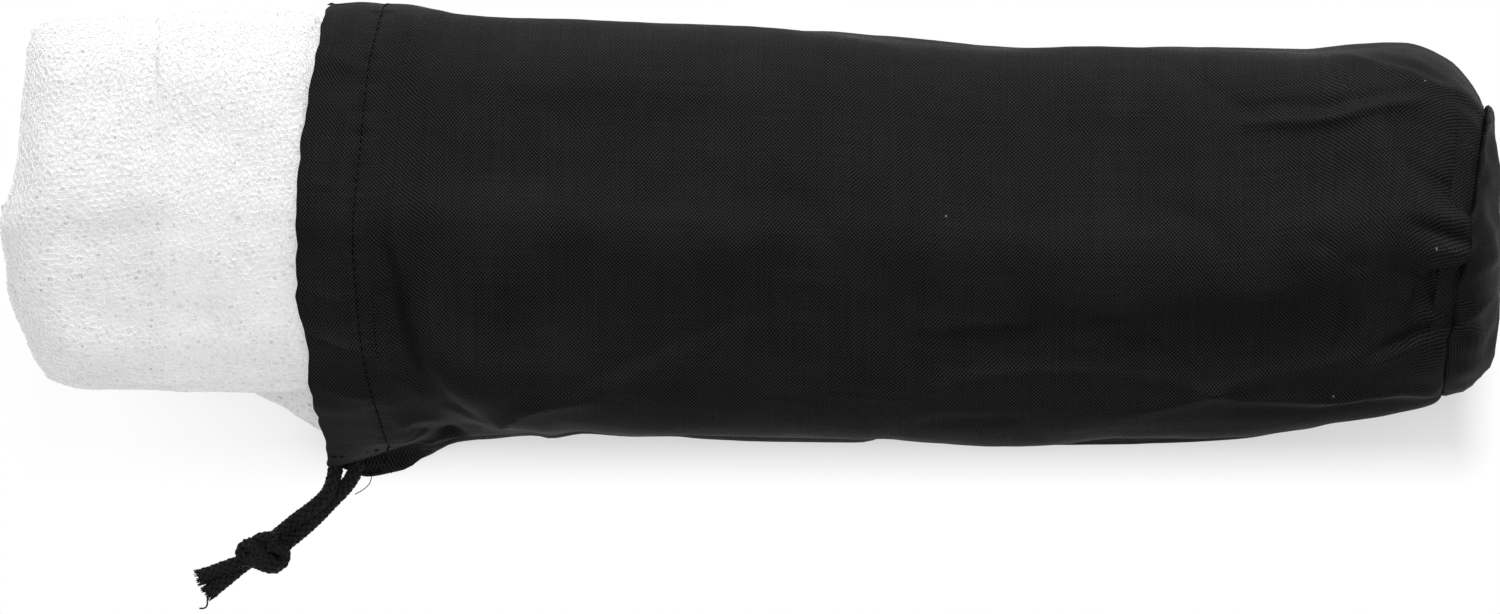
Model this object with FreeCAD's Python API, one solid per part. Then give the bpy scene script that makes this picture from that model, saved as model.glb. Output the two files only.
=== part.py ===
import FreeCAD, Part

import math
import os

from collections import namedtuple

from FreeCAD import Vector

# A long drawstring bag of woven cloth lies on its side, its mouth towards -X. A net, folded into a wad,
# fills it and stands out of the mouth. Lengths are in millimetres and +Z is up. The origin lies on the
# surface that the bag rests on, under the middle of its whole length and width.

# Overall lengths along X
NET_STANDS_OUT = 98.4
BODY_LENGTH = 388.0
BASE_BULGE = 12.0
MOUTH_X = NET_STANDS_OUT - (NET_STANDS_OUT + BODY_LENGTH + BASE_BULGE) / 2

# Cloth, clearances and seams
CLOTH = 0.6
CLEARANCE = 0.3
SEAM_ALLOWANCE = 8.0
SEAM_LAYERS = 2 * CLOTH
SIDE_SEAM_HEIGHT = 16.0
SIDE_SEAM_WIDTH = 10.0

# Threads
THREAD = 0.6
THREAD_GAP = 0.08
STITCH_PITCH = 2.7
STITCH_LENGTH = 2.0

# Mouth and casing
MOUTH_NORTH = 79.2
MOUTH_SOUTH = -(MOUTH_NORTH + THREAD_GAP + THREAD)
MOUTH_HEIGHT = 75.0
MOUTH_LEAN = 8.5
MOUTH_LIFT = 0.8
CASING_DEPTH = 20.0
CASING_TURN_IN = 5.0
CHANNEL_SIDE = 1.0
CHANNEL_SLOPE = 3.5
CORD_DIAMETER = 5.0
CORD_FROM_EDGE = 9.5
CORNER_RADIUS = 11.0
CORNER_SHOULDER = 48.0
CORD_DOOR_LOW = 7.8
CORD_DOOR_HEIGHT = 12.2
HEM_WIDTH = 5.0
HEM_SETBACK = 0.5

# Heights of the filled bag
MIDDLE_HEIGHT = 79.0
BASE_HEIGHT = 82.0
FLAT_DEPTH = 1.2
BASE_SKEW = 9.3

# Net
NET_HEIGHT = 69.5
NET_NORTH = 74.4
NET_SOUTH = -48.5
NET_EASE = 1.2
NET_END_GAP = 2.5
NET_NOSE = 20.0
OUTER_TURN_FROM = 46.0
OUTER_TURN_THICK = 2.0
FLARE_LOW = 9.0
FLARE_THICK = 5.0

# A section's round corners, as shares of its own height
LOW_ROUND = 0.33
SIDE_ROUND = 0.38
SIDE_RISE = 0.2
CROWN_ROUND = 0.47

# How closely the sections of the bag and of the net's nose follow each other
SECTION_STEP = 14.0
NET_STEP = 8.0

# How far a cutting shape reaches past what it cuts
OVERCUT = 5.0

# The base panel's dome: how far out, how far in from the rim, and the share of the base's skew there
BASE_DOME = [(0.0, 0.0, 1.0), (4.0, 2.5, 0.65), (8.0, 8.0, 0.3), (BASE_BULGE, 20.0, 0.0)]

# The net's nose: how far back, as a share of its length, and how far drawn in, as a share of its height
NOSE_ROUND = [(0.0, 0.26), (0.12, 0.17), (0.35, 0.08), (0.65, 0.02), (1.0, 0.0)]
NOSE_DROP = 5.0
NOSE_NARROWING = 1.5

# The flare's outline from above: out of the mouth, and aside from the wad's south side
FLARE_EDGE = [(-25, 6), (-22, -1), (-12, -5), (-2, -9), (5, -13.5), (8.5, -14), (8.5, 6)]

# Where the cord's loop begins and stops, as shares of the straight floor run and of the straight south slope
LOOP_BEGINS = 0.12
LOOP_STOPS = 0.65

Station = namedtuple("Station", "place north south sole top slump lean skew")
Circle = namedtuple("Circle", "y z r")
Piece = namedtuple("Piece", "start middle end")

# The channel for the cord: wall, cord and turned-in cloth, with a clearance on each side of the cord
CORD_INSET = CLOTH + CLEARANCE + CORD_DIAMETER / 2
CHANNEL_INSET = CLOTH + 2 * CLEARANCE + CORD_DIAMETER
THROAT_INSET = CHANNEL_INSET + CLOTH + CLEARANCE

# The net's underside where it passes over the mouth's edge and the cloth turned in there
MOUTH_SOLE = MOUTH_LIFT + 3 * CLOTH + 2 * CLEARANCE

# The middle of a seam's thread, on the inner side of the seam's two layers
SEAM_THREAD_INSET = CLOTH + CLEARANCE + SEAM_LAYERS + CLEARANCE + THREAD / 2


def mouth_station(place):
    """The bag's section in the casing, which is the same all along it."""
    return Station(place, MOUTH_NORTH, MOUTH_SOUTH, MOUTH_LIFT, MOUTH_HEIGHT, 1.0, MOUTH_LEAN, 0.0)


# The bag's sections from the mouth to the base seam. Where the bag lies, a section reaches below the
# surface by the flat's depth and is cut off there.
BAG_ROWS = [
    mouth_station(0.0),
    mouth_station(CASING_DEPTH + 10),
    Station(CASING_DEPTH + 28, 76.5, -69.5, 0.0, MOUTH_HEIGHT + 1, 0.8, 0.7 * MOUTH_LEAN, 0.0),
    Station(CASING_DEPTH + 55, 73.8, -66.0, -FLAT_DEPTH, MOUTH_HEIGHT + 3, 0.35, 0.35 * MOUTH_LEAN, 0.0),
    Station(CASING_DEPTH + 85, 72.5, -65.0, -FLAT_DEPTH, MIDDLE_HEIGHT - 1, 0.0, 0.0, 0.0),
    Station(0.45 * BODY_LENGTH, 70.5, -67.5, -FLAT_DEPTH, MIDDLE_HEIGHT, 0.0, 0.0, 0.0),
    Station(0.62 * BODY_LENGTH, 64.5, -68.5, -FLAT_DEPTH, MIDDLE_HEIGHT, 0.0, 0.0, 0.0),
    Station(0.77 * BODY_LENGTH, 63.5, -67.5, -FLAT_DEPTH, MIDDLE_HEIGHT + 1, 0.0, 0.0, 0.0),
    Station(BODY_LENGTH - 53, 62.5, -63.0, -FLAT_DEPTH, MIDDLE_HEIGHT + 2, 0.0, 0.0, 0.15 * BASE_SKEW),
    Station(BODY_LENGTH - 28, 66.0, -58.5, -FLAT_DEPTH, MIDDLE_HEIGHT + 1, 0.0, 0.0, 0.55 * BASE_SKEW),
    Station(BODY_LENGTH - 8, 57.0, -55.0, 0.2, BASE_HEIGHT + 3, 0.0, 0.0, 0.9 * BASE_SKEW),
    Station(BODY_LENGTH, 46.0, -52.5, MOUTH_LIFT, BASE_HEIGHT, 0.0, 0.0, BASE_SKEW),
]


def between(rows, place):
    """The section at a place, on a smooth curve through the rows."""
    if place <= rows[0].place:
        return rows[0]._replace(place=place)
    if place >= rows[-1].place:
        return rows[-1]._replace(place=place)
    at = max(i for i, row in enumerate(rows[:-1]) if row.place <= place)
    low, high = rows[at], rows[at + 1]
    before, after = rows[max(at - 1, 0)], rows[min(at + 2, len(rows) - 1)]
    span = high.place - low.place
    share = (place - low.place) / span
    values = [place]
    for field in Station._fields[1:]:
        a, b, c, d = (getattr(row, field) for row in (before, low, high, after))
        rise_low = (c - a) / (high.place - before.place) * span if b != c else 0.0
        rise_high = (d - b) / (after.place - low.place) * span if b != c else 0.0
        if (b - a) * (c - b) <= 0:
            rise_low = 0.0
        if (c - b) * (d - c) <= 0:
            rise_high = 0.0
        values.append(
            (2 * share**3 - 3 * share**2 + 1) * b
            + (share**3 - 2 * share**2 + share) * rise_low
            + (3 * share**2 - 2 * share**3) * c
            + (share**3 - share**2) * rise_high
        )
    return Station(*values)


def places_between(rows, start, end, step=SECTION_STEP):
    """Places from start to end: the rows' own, and more between them where they lie far apart."""
    stops = [start] + [row.place for row in rows if start < row.place < end] + [end]
    places = [start]
    for low, high in zip(stops, stops[1:]):
        count = max(1, round((high - low) / step))
        places += [low + (high - low) * i / count for i in range(1, count + 1)]
    return places


BAG_STATIONS = [between(BAG_ROWS, place) for place in places_between(BAG_ROWS, 0.0, BODY_LENGTH)]


def bag_at(place):
    """The bag's section at a place, on the straight stretch between the two sections beside it."""
    if place <= 0:
        return BAG_STATIONS[0]._replace(place=place)
    if place >= BODY_LENGTH:
        return BAG_STATIONS[-1]._replace(place=place)
    low = max((row for row in BAG_STATIONS if row.place <= place), key=lambda row: row.place)
    high = min((row for row in BAG_STATIONS if row.place > place), key=lambda row: row.place)
    share = (place - low.place) / (high.place - low.place)
    return Station(*(a + (b - a) * share for a, b in zip(low, high)))


def circles_of(station):
    """The five circles that a section's outline is stretched around, from the lower north corner on."""
    height = station.top - station.sole
    low, side, crown = LOW_ROUND * height, SIDE_ROUND * height, CROWN_ROUND * height
    shoulder_z = station.sole + low + SIDE_RISE * height
    tip = low + (CORNER_RADIUS - low) * station.slump
    shoulder = side + (CORNER_SHOULDER - side) * station.slump
    middle = (station.north + station.south + shoulder - side) / 2
    return [
        Circle(station.north - low, station.sole + low, low),
        Circle(station.north - side, shoulder_z, side),
        Circle(middle, station.top - crown, crown),
        Circle(station.south + shoulder, shoulder_z, side),
        Circle(station.south + tip, station.sole + tip, tip),
    ]


def tangent_angle(first, second):
    """The direction, square to the outline, of the line that touches two circles in a row."""
    away = math.hypot(second.y - first.y, second.z - first.z)
    heading = math.atan2(second.z - first.z, second.y - first.y)
    return heading - math.acos((first.r - second.r) / away)


def on_circle(circle, angle, inset):
    """A point at an angle on a circle whose radius is less by the inset."""
    reach = circle.r - inset
    return (circle.y + reach * math.cos(angle), circle.z + reach * math.sin(angle))


def outline(station, inset=0.0):
    """A section's outline as round pieces and straight ones in turn, drawn in from the cloth's outside."""
    circles = circles_of(station)
    count = len(circles)
    angles = [tangent_angle(circles[i], circles[(i + 1) % count]) for i in range(count)]
    pieces = []
    for i, circle in enumerate(circles):
        first = angles[i - 1]
        last = first + (angles[i] - first) % (2 * math.pi)
        start, middle, end = (on_circle(circle, a, inset) for a in (first, (first + last) / 2, last))
        pieces.append(Piece(start, middle, end))
        pieces.append(Piece(end, None, on_circle(circles[(i + 1) % count], angles[i], inset)))
    return pieces


def placed(station, point):
    """A point of a section's plane, in the part's frame."""
    y, z = point
    lean, skew = math.radians(station.lean), math.radians(station.skew)
    x = MOUTH_X + station.place + (MOUTH_HEIGHT - z) * math.sin(lean) * (station.lean > 0)
    return Vector(x + y * math.sin(skew), y * math.cos(skew), z * math.cos(lean))


def edges_of(station, pieces):
    """The edges of some pieces of an outline."""
    edges = []
    for piece in pieces:
        start, end = placed(station, piece.start), placed(station, piece.end)
        if piece.middle:
            edges.append(Part.Arc(start, placed(station, piece.middle), end).toShape())
        else:
            edges.append(Part.LineSegment(start, end).toShape())
    return edges


def ring(station, inset=0.0):
    """A section's closed outline."""
    return Part.Wire(edges_of(station, outline(station, inset)))


def hull(stations, insets):
    """The solid through a row of sections."""
    rings = [ring(station, inset) for station, inset in zip(stations, insets)]
    return Part.makeLoft(rings, True, True)


def bag_solid(start, end, inset):
    """The bag's shape between two places, drawn in from its outside."""
    inner = [row for row in BAG_STATIONS if start < row.place < end]
    stations = [bag_at(start)] + inner + [bag_at(end)]
    return hull(stations, [inset] * len(stations))


def above(shape, height):
    """What lies above a height."""
    reach = 2 * (NET_STANDS_OUT + BODY_LENGTH)
    return shape.common(Part.makeBox(2 * reach, 2 * reach, reach, Vector(-reach, -reach, height)))


def slab(start, end, y_low, y_high, z_low, z_high):
    """A block that leans with the mouth, between two places along the casing."""
    corners = [(y_low, z_low), (y_high, z_low), (y_high, z_high), (y_low, z_high)]
    faces = []
    for place in (start, end):
        points = [placed(mouth_station(place), corner) for corner in corners]
        faces.append(Part.makePolygon(points + points[:1]))
    return Part.makeLoft(faces, True, True)


def cord_door(grow=0.0, length=CASING_DEPTH):
    """The way out for the cord, between the casing's two ends at the mouth's south corner."""
    low, high = CORD_DOOR_LOW - grow, CORD_DOOR_LOW + CORD_DOOR_HEIGHT + grow
    return slab(-OVERCUT, length, MOUTH_SOUTH - OVERCUT, MOUTH_SOUTH + CORNER_SHOULDER / 2, low, high)


def body_panel():
    """The tube of cloth, open at the mouth and the base, flat where the bag lies."""
    outside = above(bag_solid(0.0, BODY_LENGTH, 0.0), 0.0)
    inside = above(bag_solid(-OVERCUT, BODY_LENGTH + OVERCUT, CLOTH), CLOTH)
    return outside.cut(inside).cut(cord_door())


def casing_facing():
    """The cloth turned in at the mouth, which bows inwards around the cord and is sewn down behind it."""
    fold = CLOTH + CLEARANCE
    near = CORD_FROM_EDGE - CORD_DIAMETER / 2 - CHANNEL_SIDE
    far = CORD_FROM_EDGE + CORD_DIAMETER / 2 + CHANNEL_SIDE
    end = CASING_DEPTH + CASING_TURN_IN
    rows = [(0.0, fold), (near - CHANNEL_SLOPE, fold), (near, CHANNEL_INSET), (far, CHANNEL_INSET)]
    rows += [(far + CHANNEL_SLOPE, fold), (end, fold)]
    outside = hull([mouth_station(place) for place, _ in rows], [inset for _, inset in rows])
    rows[0], rows[-1] = (-OVERCUT, fold), (end + OVERCUT, fold)
    inside = hull([mouth_station(place) for place, _ in rows], [inset + CLOTH for _, inset in rows])
    return outside.cut(inside).cut(cord_door(grow=HEM_WIDTH + CLEARANCE, length=CASING_DEPTH - HEM_SETBACK))


def casing_hem(low):
    """The narrow hem along one side of the cord's way out."""
    start, end = HEM_SETBACK, CASING_DEPTH - 3 * HEM_SETBACK
    outer = CLOTH + CLEARANCE
    outside = hull([mouth_station(start), mouth_station(end)], [outer] * 2)
    inside = hull([mouth_station(start - OVERCUT), mouth_station(end + OVERCUT)], [outer + CLOTH] * 2)
    south = MOUTH_SOUTH - OVERCUT
    band = slab(-OVERCUT, CASING_DEPTH, south, MOUTH_SOUTH + CORNER_SHOULDER / 2, low, low + HEM_WIDTH)
    return outside.cut(inside).common(band)


def base_panel():
    """The round end of the bag, a shallow dome whose rim meets the tube's end face to face."""
    seam = BAG_ROWS[-1]
    stations = [seam._replace(place=BODY_LENGTH + out, skew=share * BASE_SKEW) for out, _, share in BASE_DOME]
    outside = hull(stations, [inset for _, inset, _ in BASE_DOME])
    inner = [seam._replace(place=BODY_LENGTH - OVERCUT)]
    inner += [station._replace(place=station.place - CLOTH * (i > 0)) for i, station in enumerate(stations)]
    insets = [CLOTH] + [inset + CLOTH for _, inset, _ in BASE_DOME]
    return outside.cut(hull(inner, insets))


def side_seam_allowance():
    """The two raw edges of the side seam, turned inside along the south side."""
    start, end = CASING_DEPTH + 1.5 * SEAM_ALLOWANCE, BODY_LENGTH - 1.5 * SEAM_ALLOWANCE
    inset = CLOTH + CLEARANCE
    hollow = bag_solid(start - OVERCUT, end + SEAM_ALLOWANCE / 2, inset + SEAM_LAYERS)
    band = bag_solid(start, end, inset).cut(hollow)
    low = SIDE_SEAM_HEIGHT - SIDE_SEAM_WIDTH / 2
    span = NET_STANDS_OUT + BODY_LENGTH
    return band.common(Part.makeBox(2 * span, span, SIDE_SEAM_WIDTH, Vector(-span, -span, low)))


def base_seam_allowance():
    """The two raw edges of the base seam, turned inside all round."""
    start, end = BODY_LENGTH - SEAM_ALLOWANCE, BODY_LENGTH - CLEARANCE
    inset = CLOTH + CLEARANCE
    hollow = bag_solid(start - OVERCUT, BODY_LENGTH + OVERCUT, inset + SEAM_LAYERS)
    return above(bag_solid(start, end, inset).cut(hollow), CLOTH + CLEARANCE)


def stitch(middle, heading):
    """One stitch, a short straight piece of thread."""
    along = Vector(heading).normalize()
    return Part.makeCylinder(THREAD / 2, STITCH_LENGTH, middle - along * (STITCH_LENGTH / 2), along)


def walk(station, inset):
    """Points a stitch's pitch apart along an outline, each with its heading."""
    edges = edges_of(station, outline(station, inset))
    length = sum(edge.Length for edge in edges)
    count = int(length // STITCH_PITCH)
    steps, found, passed = [length * (i + 0.5) / count for i in range(count)], [], 0.0
    for edge in edges:
        for step in steps:
            if passed <= step < passed + edge.Length:
                at = edge.getParameterByLength(step - passed)
                found.append((edge.valueAt(at), edge.tangentAt(at)))
        passed += edge.Length
    return found


def casing_stitching():
    """The row of stitches round the bag that closes the casing."""
    low, high = CORD_DOOR_LOW - STITCH_LENGTH, CORD_DOOR_LOW + CORD_DOOR_HEIGHT + THREAD
    return [
        stitch(point, heading)
        for point, heading in walk(mouth_station(CASING_DEPTH), -THREAD_GAP - THREAD / 2)
        if not (point.y < MOUTH_SOUTH + CORNER_RADIUS and low < point.z < high)
    ]


def casing_hem_stitching():
    """Two short rows of stitches, one along each hem at the cord's way out."""
    outset = THREAD_GAP + THREAD / 2
    stitches = []
    for i in range(int((CASING_DEPTH - 2 * STITCH_LENGTH) // STITCH_PITCH)):
        station = mouth_station(STITCH_LENGTH + i * STITCH_PITCH)
        shoulder, tip = circles_of(station)[3:]
        leaving = tangent_angle(shoulder, tip)
        start, end = on_circle(tip, leaving, -outset), on_circle(shoulder, leaving, -outset)
        rise = (CORD_DOOR_LOW + CORD_DOOR_HEIGHT + HEM_WIDTH / 2 - start[1]) / (end[1] - start[1])
        upper = tuple(a + (b - a) * rise for a, b in zip(start, end))
        below = math.asin((CORD_DOOR_LOW - HEM_WIDTH / 2 - tip.z) / (tip.r + outset))
        lower = on_circle(tip, math.pi - below, -outset)
        stitches += [stitch(placed(station, point), Vector(1, 0, 0)) for point in (upper, lower)]
    return stitches


def inner_south(place, height, inset):
    """The point on the bag's south side at a height, drawn in from its outside."""
    station = bag_at(place)
    tip = circles_of(station)[4]
    y = tip.y - math.sqrt((tip.r - inset) ** 2 - (height - tip.z) ** 2)
    return placed(station, (y, height))


def side_seam_thread():
    """The side seam's row of stitches, on the inner side of its allowance."""
    start, end = CASING_DEPTH + 2 * SEAM_ALLOWANCE, BODY_LENGTH - 2 * SEAM_ALLOWANCE
    count = int((end - start) // STITCH_PITCH)
    places = [start + i * STITCH_PITCH for i in range(count + 1)]
    points = [inner_south(place, SIDE_SEAM_HEIGHT, SEAM_THREAD_INSET) for place in places]
    return [stitch((a + b) * 0.5, b - a) for a, b in zip(points, points[1:])]


def base_seam_thread():
    """The base seam's row of stitches, on the inner side of its allowance."""
    station = bag_at(BODY_LENGTH - SEAM_ALLOWANCE / 2)
    return [stitch(point, heading) for point, heading in walk(station, SEAM_THREAD_INSET)]


def sweep(path, diameter):
    """A round tube along a path."""
    edge = path.Edges[0]
    start = edge.valueAt(edge.FirstParameter)
    heading = edge.tangentAt(edge.FirstParameter)
    circle = Part.Wire([Part.Circle(start, heading, diameter / 2).toShape()])
    return path.makePipeShell([circle], True, False)


def cord_tube(name, points, diameter):
    """A cord through hand-placed points: straight runs joined by arcs as large as the runs allow."""
    points = [Vector(*point) for point in points]
    edges, radii, reached = [], [], points[0]
    for before, corner, after in zip(points, points[1:], points[2:]):
        back, onward = before - corner, after - corner
        half_turn = (math.pi - back.getAngle(onward)) / 2
        setback = 0.45 * min(back.Length, onward.Length)
        radius = setback / math.tan(half_turn)
        start = corner + back.normalize() * setback
        end = corner + onward.normalize() * setback
        centre_way = (start + end) * 0.5 - corner
        distance = math.hypot(radius, setback)
        middle = corner + centre_way.normalize() * (distance - radius)
        edges += [Part.LineSegment(reached, start).toShape(), Part.Arc(start, middle, end).toShape()]
        radii.append(radius)
        reached = end
    edges.append(Part.LineSegment(reached, points[-1]).toShape())
    path = Part.Wire(edges)
    tube = sweep(path, diameter)
    share = tube.Volume / (math.pi * diameter**2 / 4 * path.Length)
    print(f"{name}: {path.Length:.1f} mm, least radius {min(radii):.1f}, volume {share:.4f} of full")
    return tube


def drawcord_loop():
    """The cord's loop inside the casing, from one end of the casing round to the other."""
    station = mouth_station(CORD_FROM_EDGE)
    pieces = outline(station, CORD_INSET)
    last_slope, floor_run = pieces[7], pieces[9]
    begin = tuple(a + (b - a) * LOOP_BEGINS for a, b in zip(floor_run.start, floor_run.end))
    stop = tuple(a + (b - a) * LOOP_STOPS for a, b in zip(last_slope.start, last_slope.end))
    pieces = [Piece(begin, None, floor_run.end)] + pieces[:7] + [Piece(last_slope.start, None, stop)]
    return sweep(Part.Wire(edges_of(station, pieces)), CORD_DIAMETER)


CORD_EXIT_Z = CORD_DOOR_LOW + CLEARANCE + CORD_DIAMETER / 2
UPPER_STRAND = [
    (-138.4, -56.0, CORD_EXIT_Z + 0.3),
    (-139.2, -66.5, CORD_EXIT_Z + 0.1),
    (-138.9, -77.0, CORD_EXIT_Z + 0.2),
    (-141.6, -85.0, 9.0),
    (-148.4, -90.6, 4.0),
    (-156.0, -95.4, 3.0),
    (-160.8, -98.2, 4.2),
]
LOWER_STRAND = [
    (-130.8, -58.0, CORD_EXIT_Z + 0.3),
    (-131.6, -68.5, CORD_EXIT_Z + 0.1),
    (-131.3, -79.0, CORD_EXIT_Z + 0.2),
    (-134.6, -86.6, 8.8),
    (-142.0, -92.6, 4.2),
    (-149.8, -98.0, 2.9),
    (-157.4, -102.5, 4.0),
]
UPPER_TAIL = [(-167.4, -103.6, 4.4), (-172.6, -105.6, 3.0), (-178.6, -108.8, 2.7), (-184.0, -111.4, 2.6)]
LOWER_TAIL = [(-166.2, -107.4, 4.2), (-170.6, -110.6, 3.0), (-175.4, -114.6, 2.7), (-180.2, -118.2, 2.6)]
KNOT_MIDDLE = Vector(-162.9, -101.6, 5.6)
KNOT_HEADING = Vector(-0.80, -0.60, 0)
KNOT_TURN_RADIUS = 3.0
KNOT_TURNS = 3
KNOT_PITCH = 3.8
KNOT_TILT = 22.0


def drawcord_knot():
    """The knot that joins both strands: fat turns of cord, side by side, round the strands."""
    turns = []
    for i in range(KNOT_TURNS):
        middle = KNOT_MIDDLE + KNOT_HEADING * ((i - (KNOT_TURNS - 1) / 2) * KNOT_PITCH)
        swing = math.radians(KNOT_TILT * (1 if i % 2 else -1))
        heading = Vector(
            KNOT_HEADING.x * math.cos(swing) - KNOT_HEADING.y * math.sin(swing),
            KNOT_HEADING.x * math.sin(swing) + KNOT_HEADING.y * math.cos(swing),
            0.0,
        )
        ball = Part.makeSphere(KNOT_TURN_RADIUS + CORD_DIAMETER / 4, middle)
        turns += [Part.makeTorus(KNOT_TURN_RADIUS, CORD_DIAMETER / 2, middle, heading), ball]
    return turns[0].multiFuse(turns[1:])


def net_row(place, north, south, sole, top, lean):
    """One section of the net."""
    return Station(place, north, south, sole, top, 0.0, lean, 0.0)


def net_rows_outside():
    """The net's sections from its nose to the mouth: a pillow end that lies flat on the floor."""
    rows = []
    for share, draw_in in NOSE_ROUND:
        trim = draw_in * NET_HEIGHT
        place = -NET_STANDS_OUT + share * NET_NOSE
        north, top = NET_NORTH - NOSE_NARROWING - trim, NET_HEIGHT - NOSE_DROP - trim
        rows.append(net_row(place, north, NET_SOUTH + trim, trim, top, 0.0))
    rows.append(net_row(-OUTER_TURN_FROM, NET_NORTH, NET_SOUTH, 0.0, NET_HEIGHT - CLOTH, 0.0))
    rows.append(net_row(-0.3 * OUTER_TURN_FROM, NET_NORTH, NET_SOUTH, 0.0, NET_HEIGHT, 0.6 * MOUTH_LEAN))
    rows.append(net_row(-1.0, NET_NORTH, NET_SOUTH, MOUTH_SOLE, NET_HEIGHT, MOUTH_LEAN))
    return rows


def net_rows_inside():
    """The net's sections from the casing to the base, none wider than the bag is between it and the mouth."""
    throat = THROAT_INSET + NET_EASE
    slack = CLOTH + SEAM_LAYERS + THREAD + 2 * CLEARANCE + NET_EASE
    north, south = MOUTH_NORTH - throat, NET_SOUTH
    sole, top = MOUTH_LIFT + throat, MOUTH_HEIGHT - throat
    start = CORD_FROM_EDGE - CORD_DIAMETER / 2 - CHANNEL_SIDE - CLOTH - CLEARANCE
    end = BODY_LENGTH - NET_END_GAP - SEAM_ALLOWANCE
    rows = [net_row(start - CHANNEL_SLOPE, NET_NORTH, south, MOUTH_SOLE, NET_HEIGHT, MOUTH_LEAN)]
    for place in places_between(BAG_ROWS, start, end):
        bag = between(BAG_ROWS, place)
        north = min(north, bag.north - slack)
        south = max(south, bag.south + slack)
        upright = max(0.0, 2 * place / BODY_LENGTH - 1)
        row = net_row(place, north, south, sole, top - upright, MOUTH_LEAN * (1 - upright))
        rows.append(row._replace(skew=bag.skew))
    north, south = min(north, BAG_ROWS[-1].north - slack), max(south, BAG_ROWS[-1].south + slack)
    for out, trim, share in BASE_DOME:
        place = BODY_LENGTH + out - NET_END_GAP
        row = net_row(place, north - trim, south + trim, sole + trim, top - 1 - trim, 0.0)
        rows.append(row._replace(skew=share * BASE_SKEW))
    return rows


def net_stations(start, end=-1.0):
    """The net's sections outside the mouth, from one place to another."""
    rows = net_rows_outside()
    return [between(rows, place) for place in places_between(rows, start, end, NET_STEP)]


def net_bundle():
    """The wad of folded net."""
    stations = net_stations(-NET_STANDS_OUT) + net_rows_inside()
    return hull(stations, [0.0] * len(stations))


def net_outer_turn():
    """The last turn of the net over the wad's top and sides, from its edge to the mouth."""
    stations = net_stations(-OUTER_TURN_FROM, -2.0)
    outside = hull(stations, [-CLEARANCE - OUTER_TURN_THICK] * len(stations))
    stations[0] = stations[0]._replace(place=-OUTER_TURN_FROM - OVERCUT)
    stations[-1] = stations[-1]._replace(place=0.0)
    inside = hull(stations, [-CLEARANCE] * len(stations))
    return above(outside.cut(inside), LOW_ROUND * NET_HEIGHT)


def net_flare():
    """The thin layer of net that spreads from the wad to the mouth's south corner."""
    points = [Vector(MOUTH_X + out, NET_SOUTH + aside, FLARE_LOW) for out, aside in FLARE_EDGE]
    sheet = Part.Face(Part.makePolygon(points + points[:1])).extrude(Vector(0, 0, FLARE_THICK))
    stations = net_stations(-OUTER_TURN_FROM) + net_rows_inside()[:4]
    return sheet.cut(hull(stations, [-CLEARANCE] * len(stations)))


def reach(station, inset, angle):
    """How far a section, drawn in, reaches in a direction across the bag."""
    tall, wide = math.cos(math.radians(station.lean)), math.cos(math.radians(station.skew))
    across, up = wide * math.cos(angle), tall * math.sin(angle)
    return max(circle.y * across + circle.z * up + circle.r - inset for circle in circles_of(station))


def room_on_the_way_out():
    """The least room between the net and the bag's inside, over the net's whole way out."""
    bag = [(station, CLOTH) for station in BAG_STATIONS if station.place >= CASING_DEPTH]
    bag.append((mouth_station(CORD_FROM_EDGE), CHANNEL_INSET + CLOTH))
    angles = [math.radians(angle) for angle in range(0, 360, 5)]
    return min(
        reach(section, inset, angle) - reach(net, 0.0, angle)
        for net in net_rows_inside()[1:]
        for section, inset in bag
        if section.place <= net.place
        for angle in angles
    )


def main():
    """Build every piece, write it and print its size."""
    os.makedirs("parts", exist_ok=True)
    hem_top = CORD_DOOR_LOW + CORD_DOOR_HEIGHT
    nodes = {
        "body_panel": body_panel(),
        "casing_facing": casing_facing(),
        "casing_hem_upper": casing_hem(hem_top),
        "casing_hem_lower": casing_hem(CORD_DOOR_LOW - HEM_WIDTH),
        "base_panel": base_panel(),
        "side_seam_allowance": side_seam_allowance(),
        "base_seam_allowance": base_seam_allowance(),
        "casing_stitching": casing_stitching(),
        "casing_hem_stitching": casing_hem_stitching(),
        "side_seam_thread": side_seam_thread(),
        "base_seam_thread": base_seam_thread(),
        "drawcord_loop": drawcord_loop(),
        "drawcord_strand_upper": cord_tube("drawcord_strand_upper", UPPER_STRAND, CORD_DIAMETER),
        "drawcord_strand_lower": cord_tube("drawcord_strand_lower", LOWER_STRAND, CORD_DIAMETER),
        "drawcord_tail_upper": cord_tube("drawcord_tail_upper", UPPER_TAIL, CORD_DIAMETER),
        "drawcord_tail_lower": cord_tube("drawcord_tail_lower", LOWER_TAIL, CORD_DIAMETER),
        "drawcord_knot": drawcord_knot(),
        "net_bundle": net_bundle(),
        "net_outer_turn": net_outer_turn(),
        "net_flare": net_flare(),
    }
    for name, shape in nodes.items():
        if isinstance(shape, list):
            shape = Part.makeCompound(shape)
        shape.exportStep(f"parts/{name}.step")
        box = shape.optimalBoundingBox(False, False)
        print(
            f"{name}: {len(shape.Solids)} solids, {shape.Volume:.0f} mm3, x {box.XMin:.1f} {box.XMax:.1f}, "
            f"y {box.YMin:.1f} {box.YMax:.1f}, z {box.ZMin:.2f} {box.ZMax:.1f}"
        )
    for name, row in (("mouth", BAG_ROWS[0]), ("middle", BAG_ROWS[5]), ("base", BAG_ROWS[-1])):
        around = sum(edge.Length for edge in edges_of(row, outline(row)))
        print(f"round the bag's {name} {around:.0f} mm")
    print(f"least room between net and bag on the way out: {room_on_the_way_out():.2f} mm")


main()
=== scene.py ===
"""Looks of a folded net in a black drawstring bag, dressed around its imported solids."""

import logging
import math
from dataclasses import dataclass, field
from enum import Enum

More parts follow.
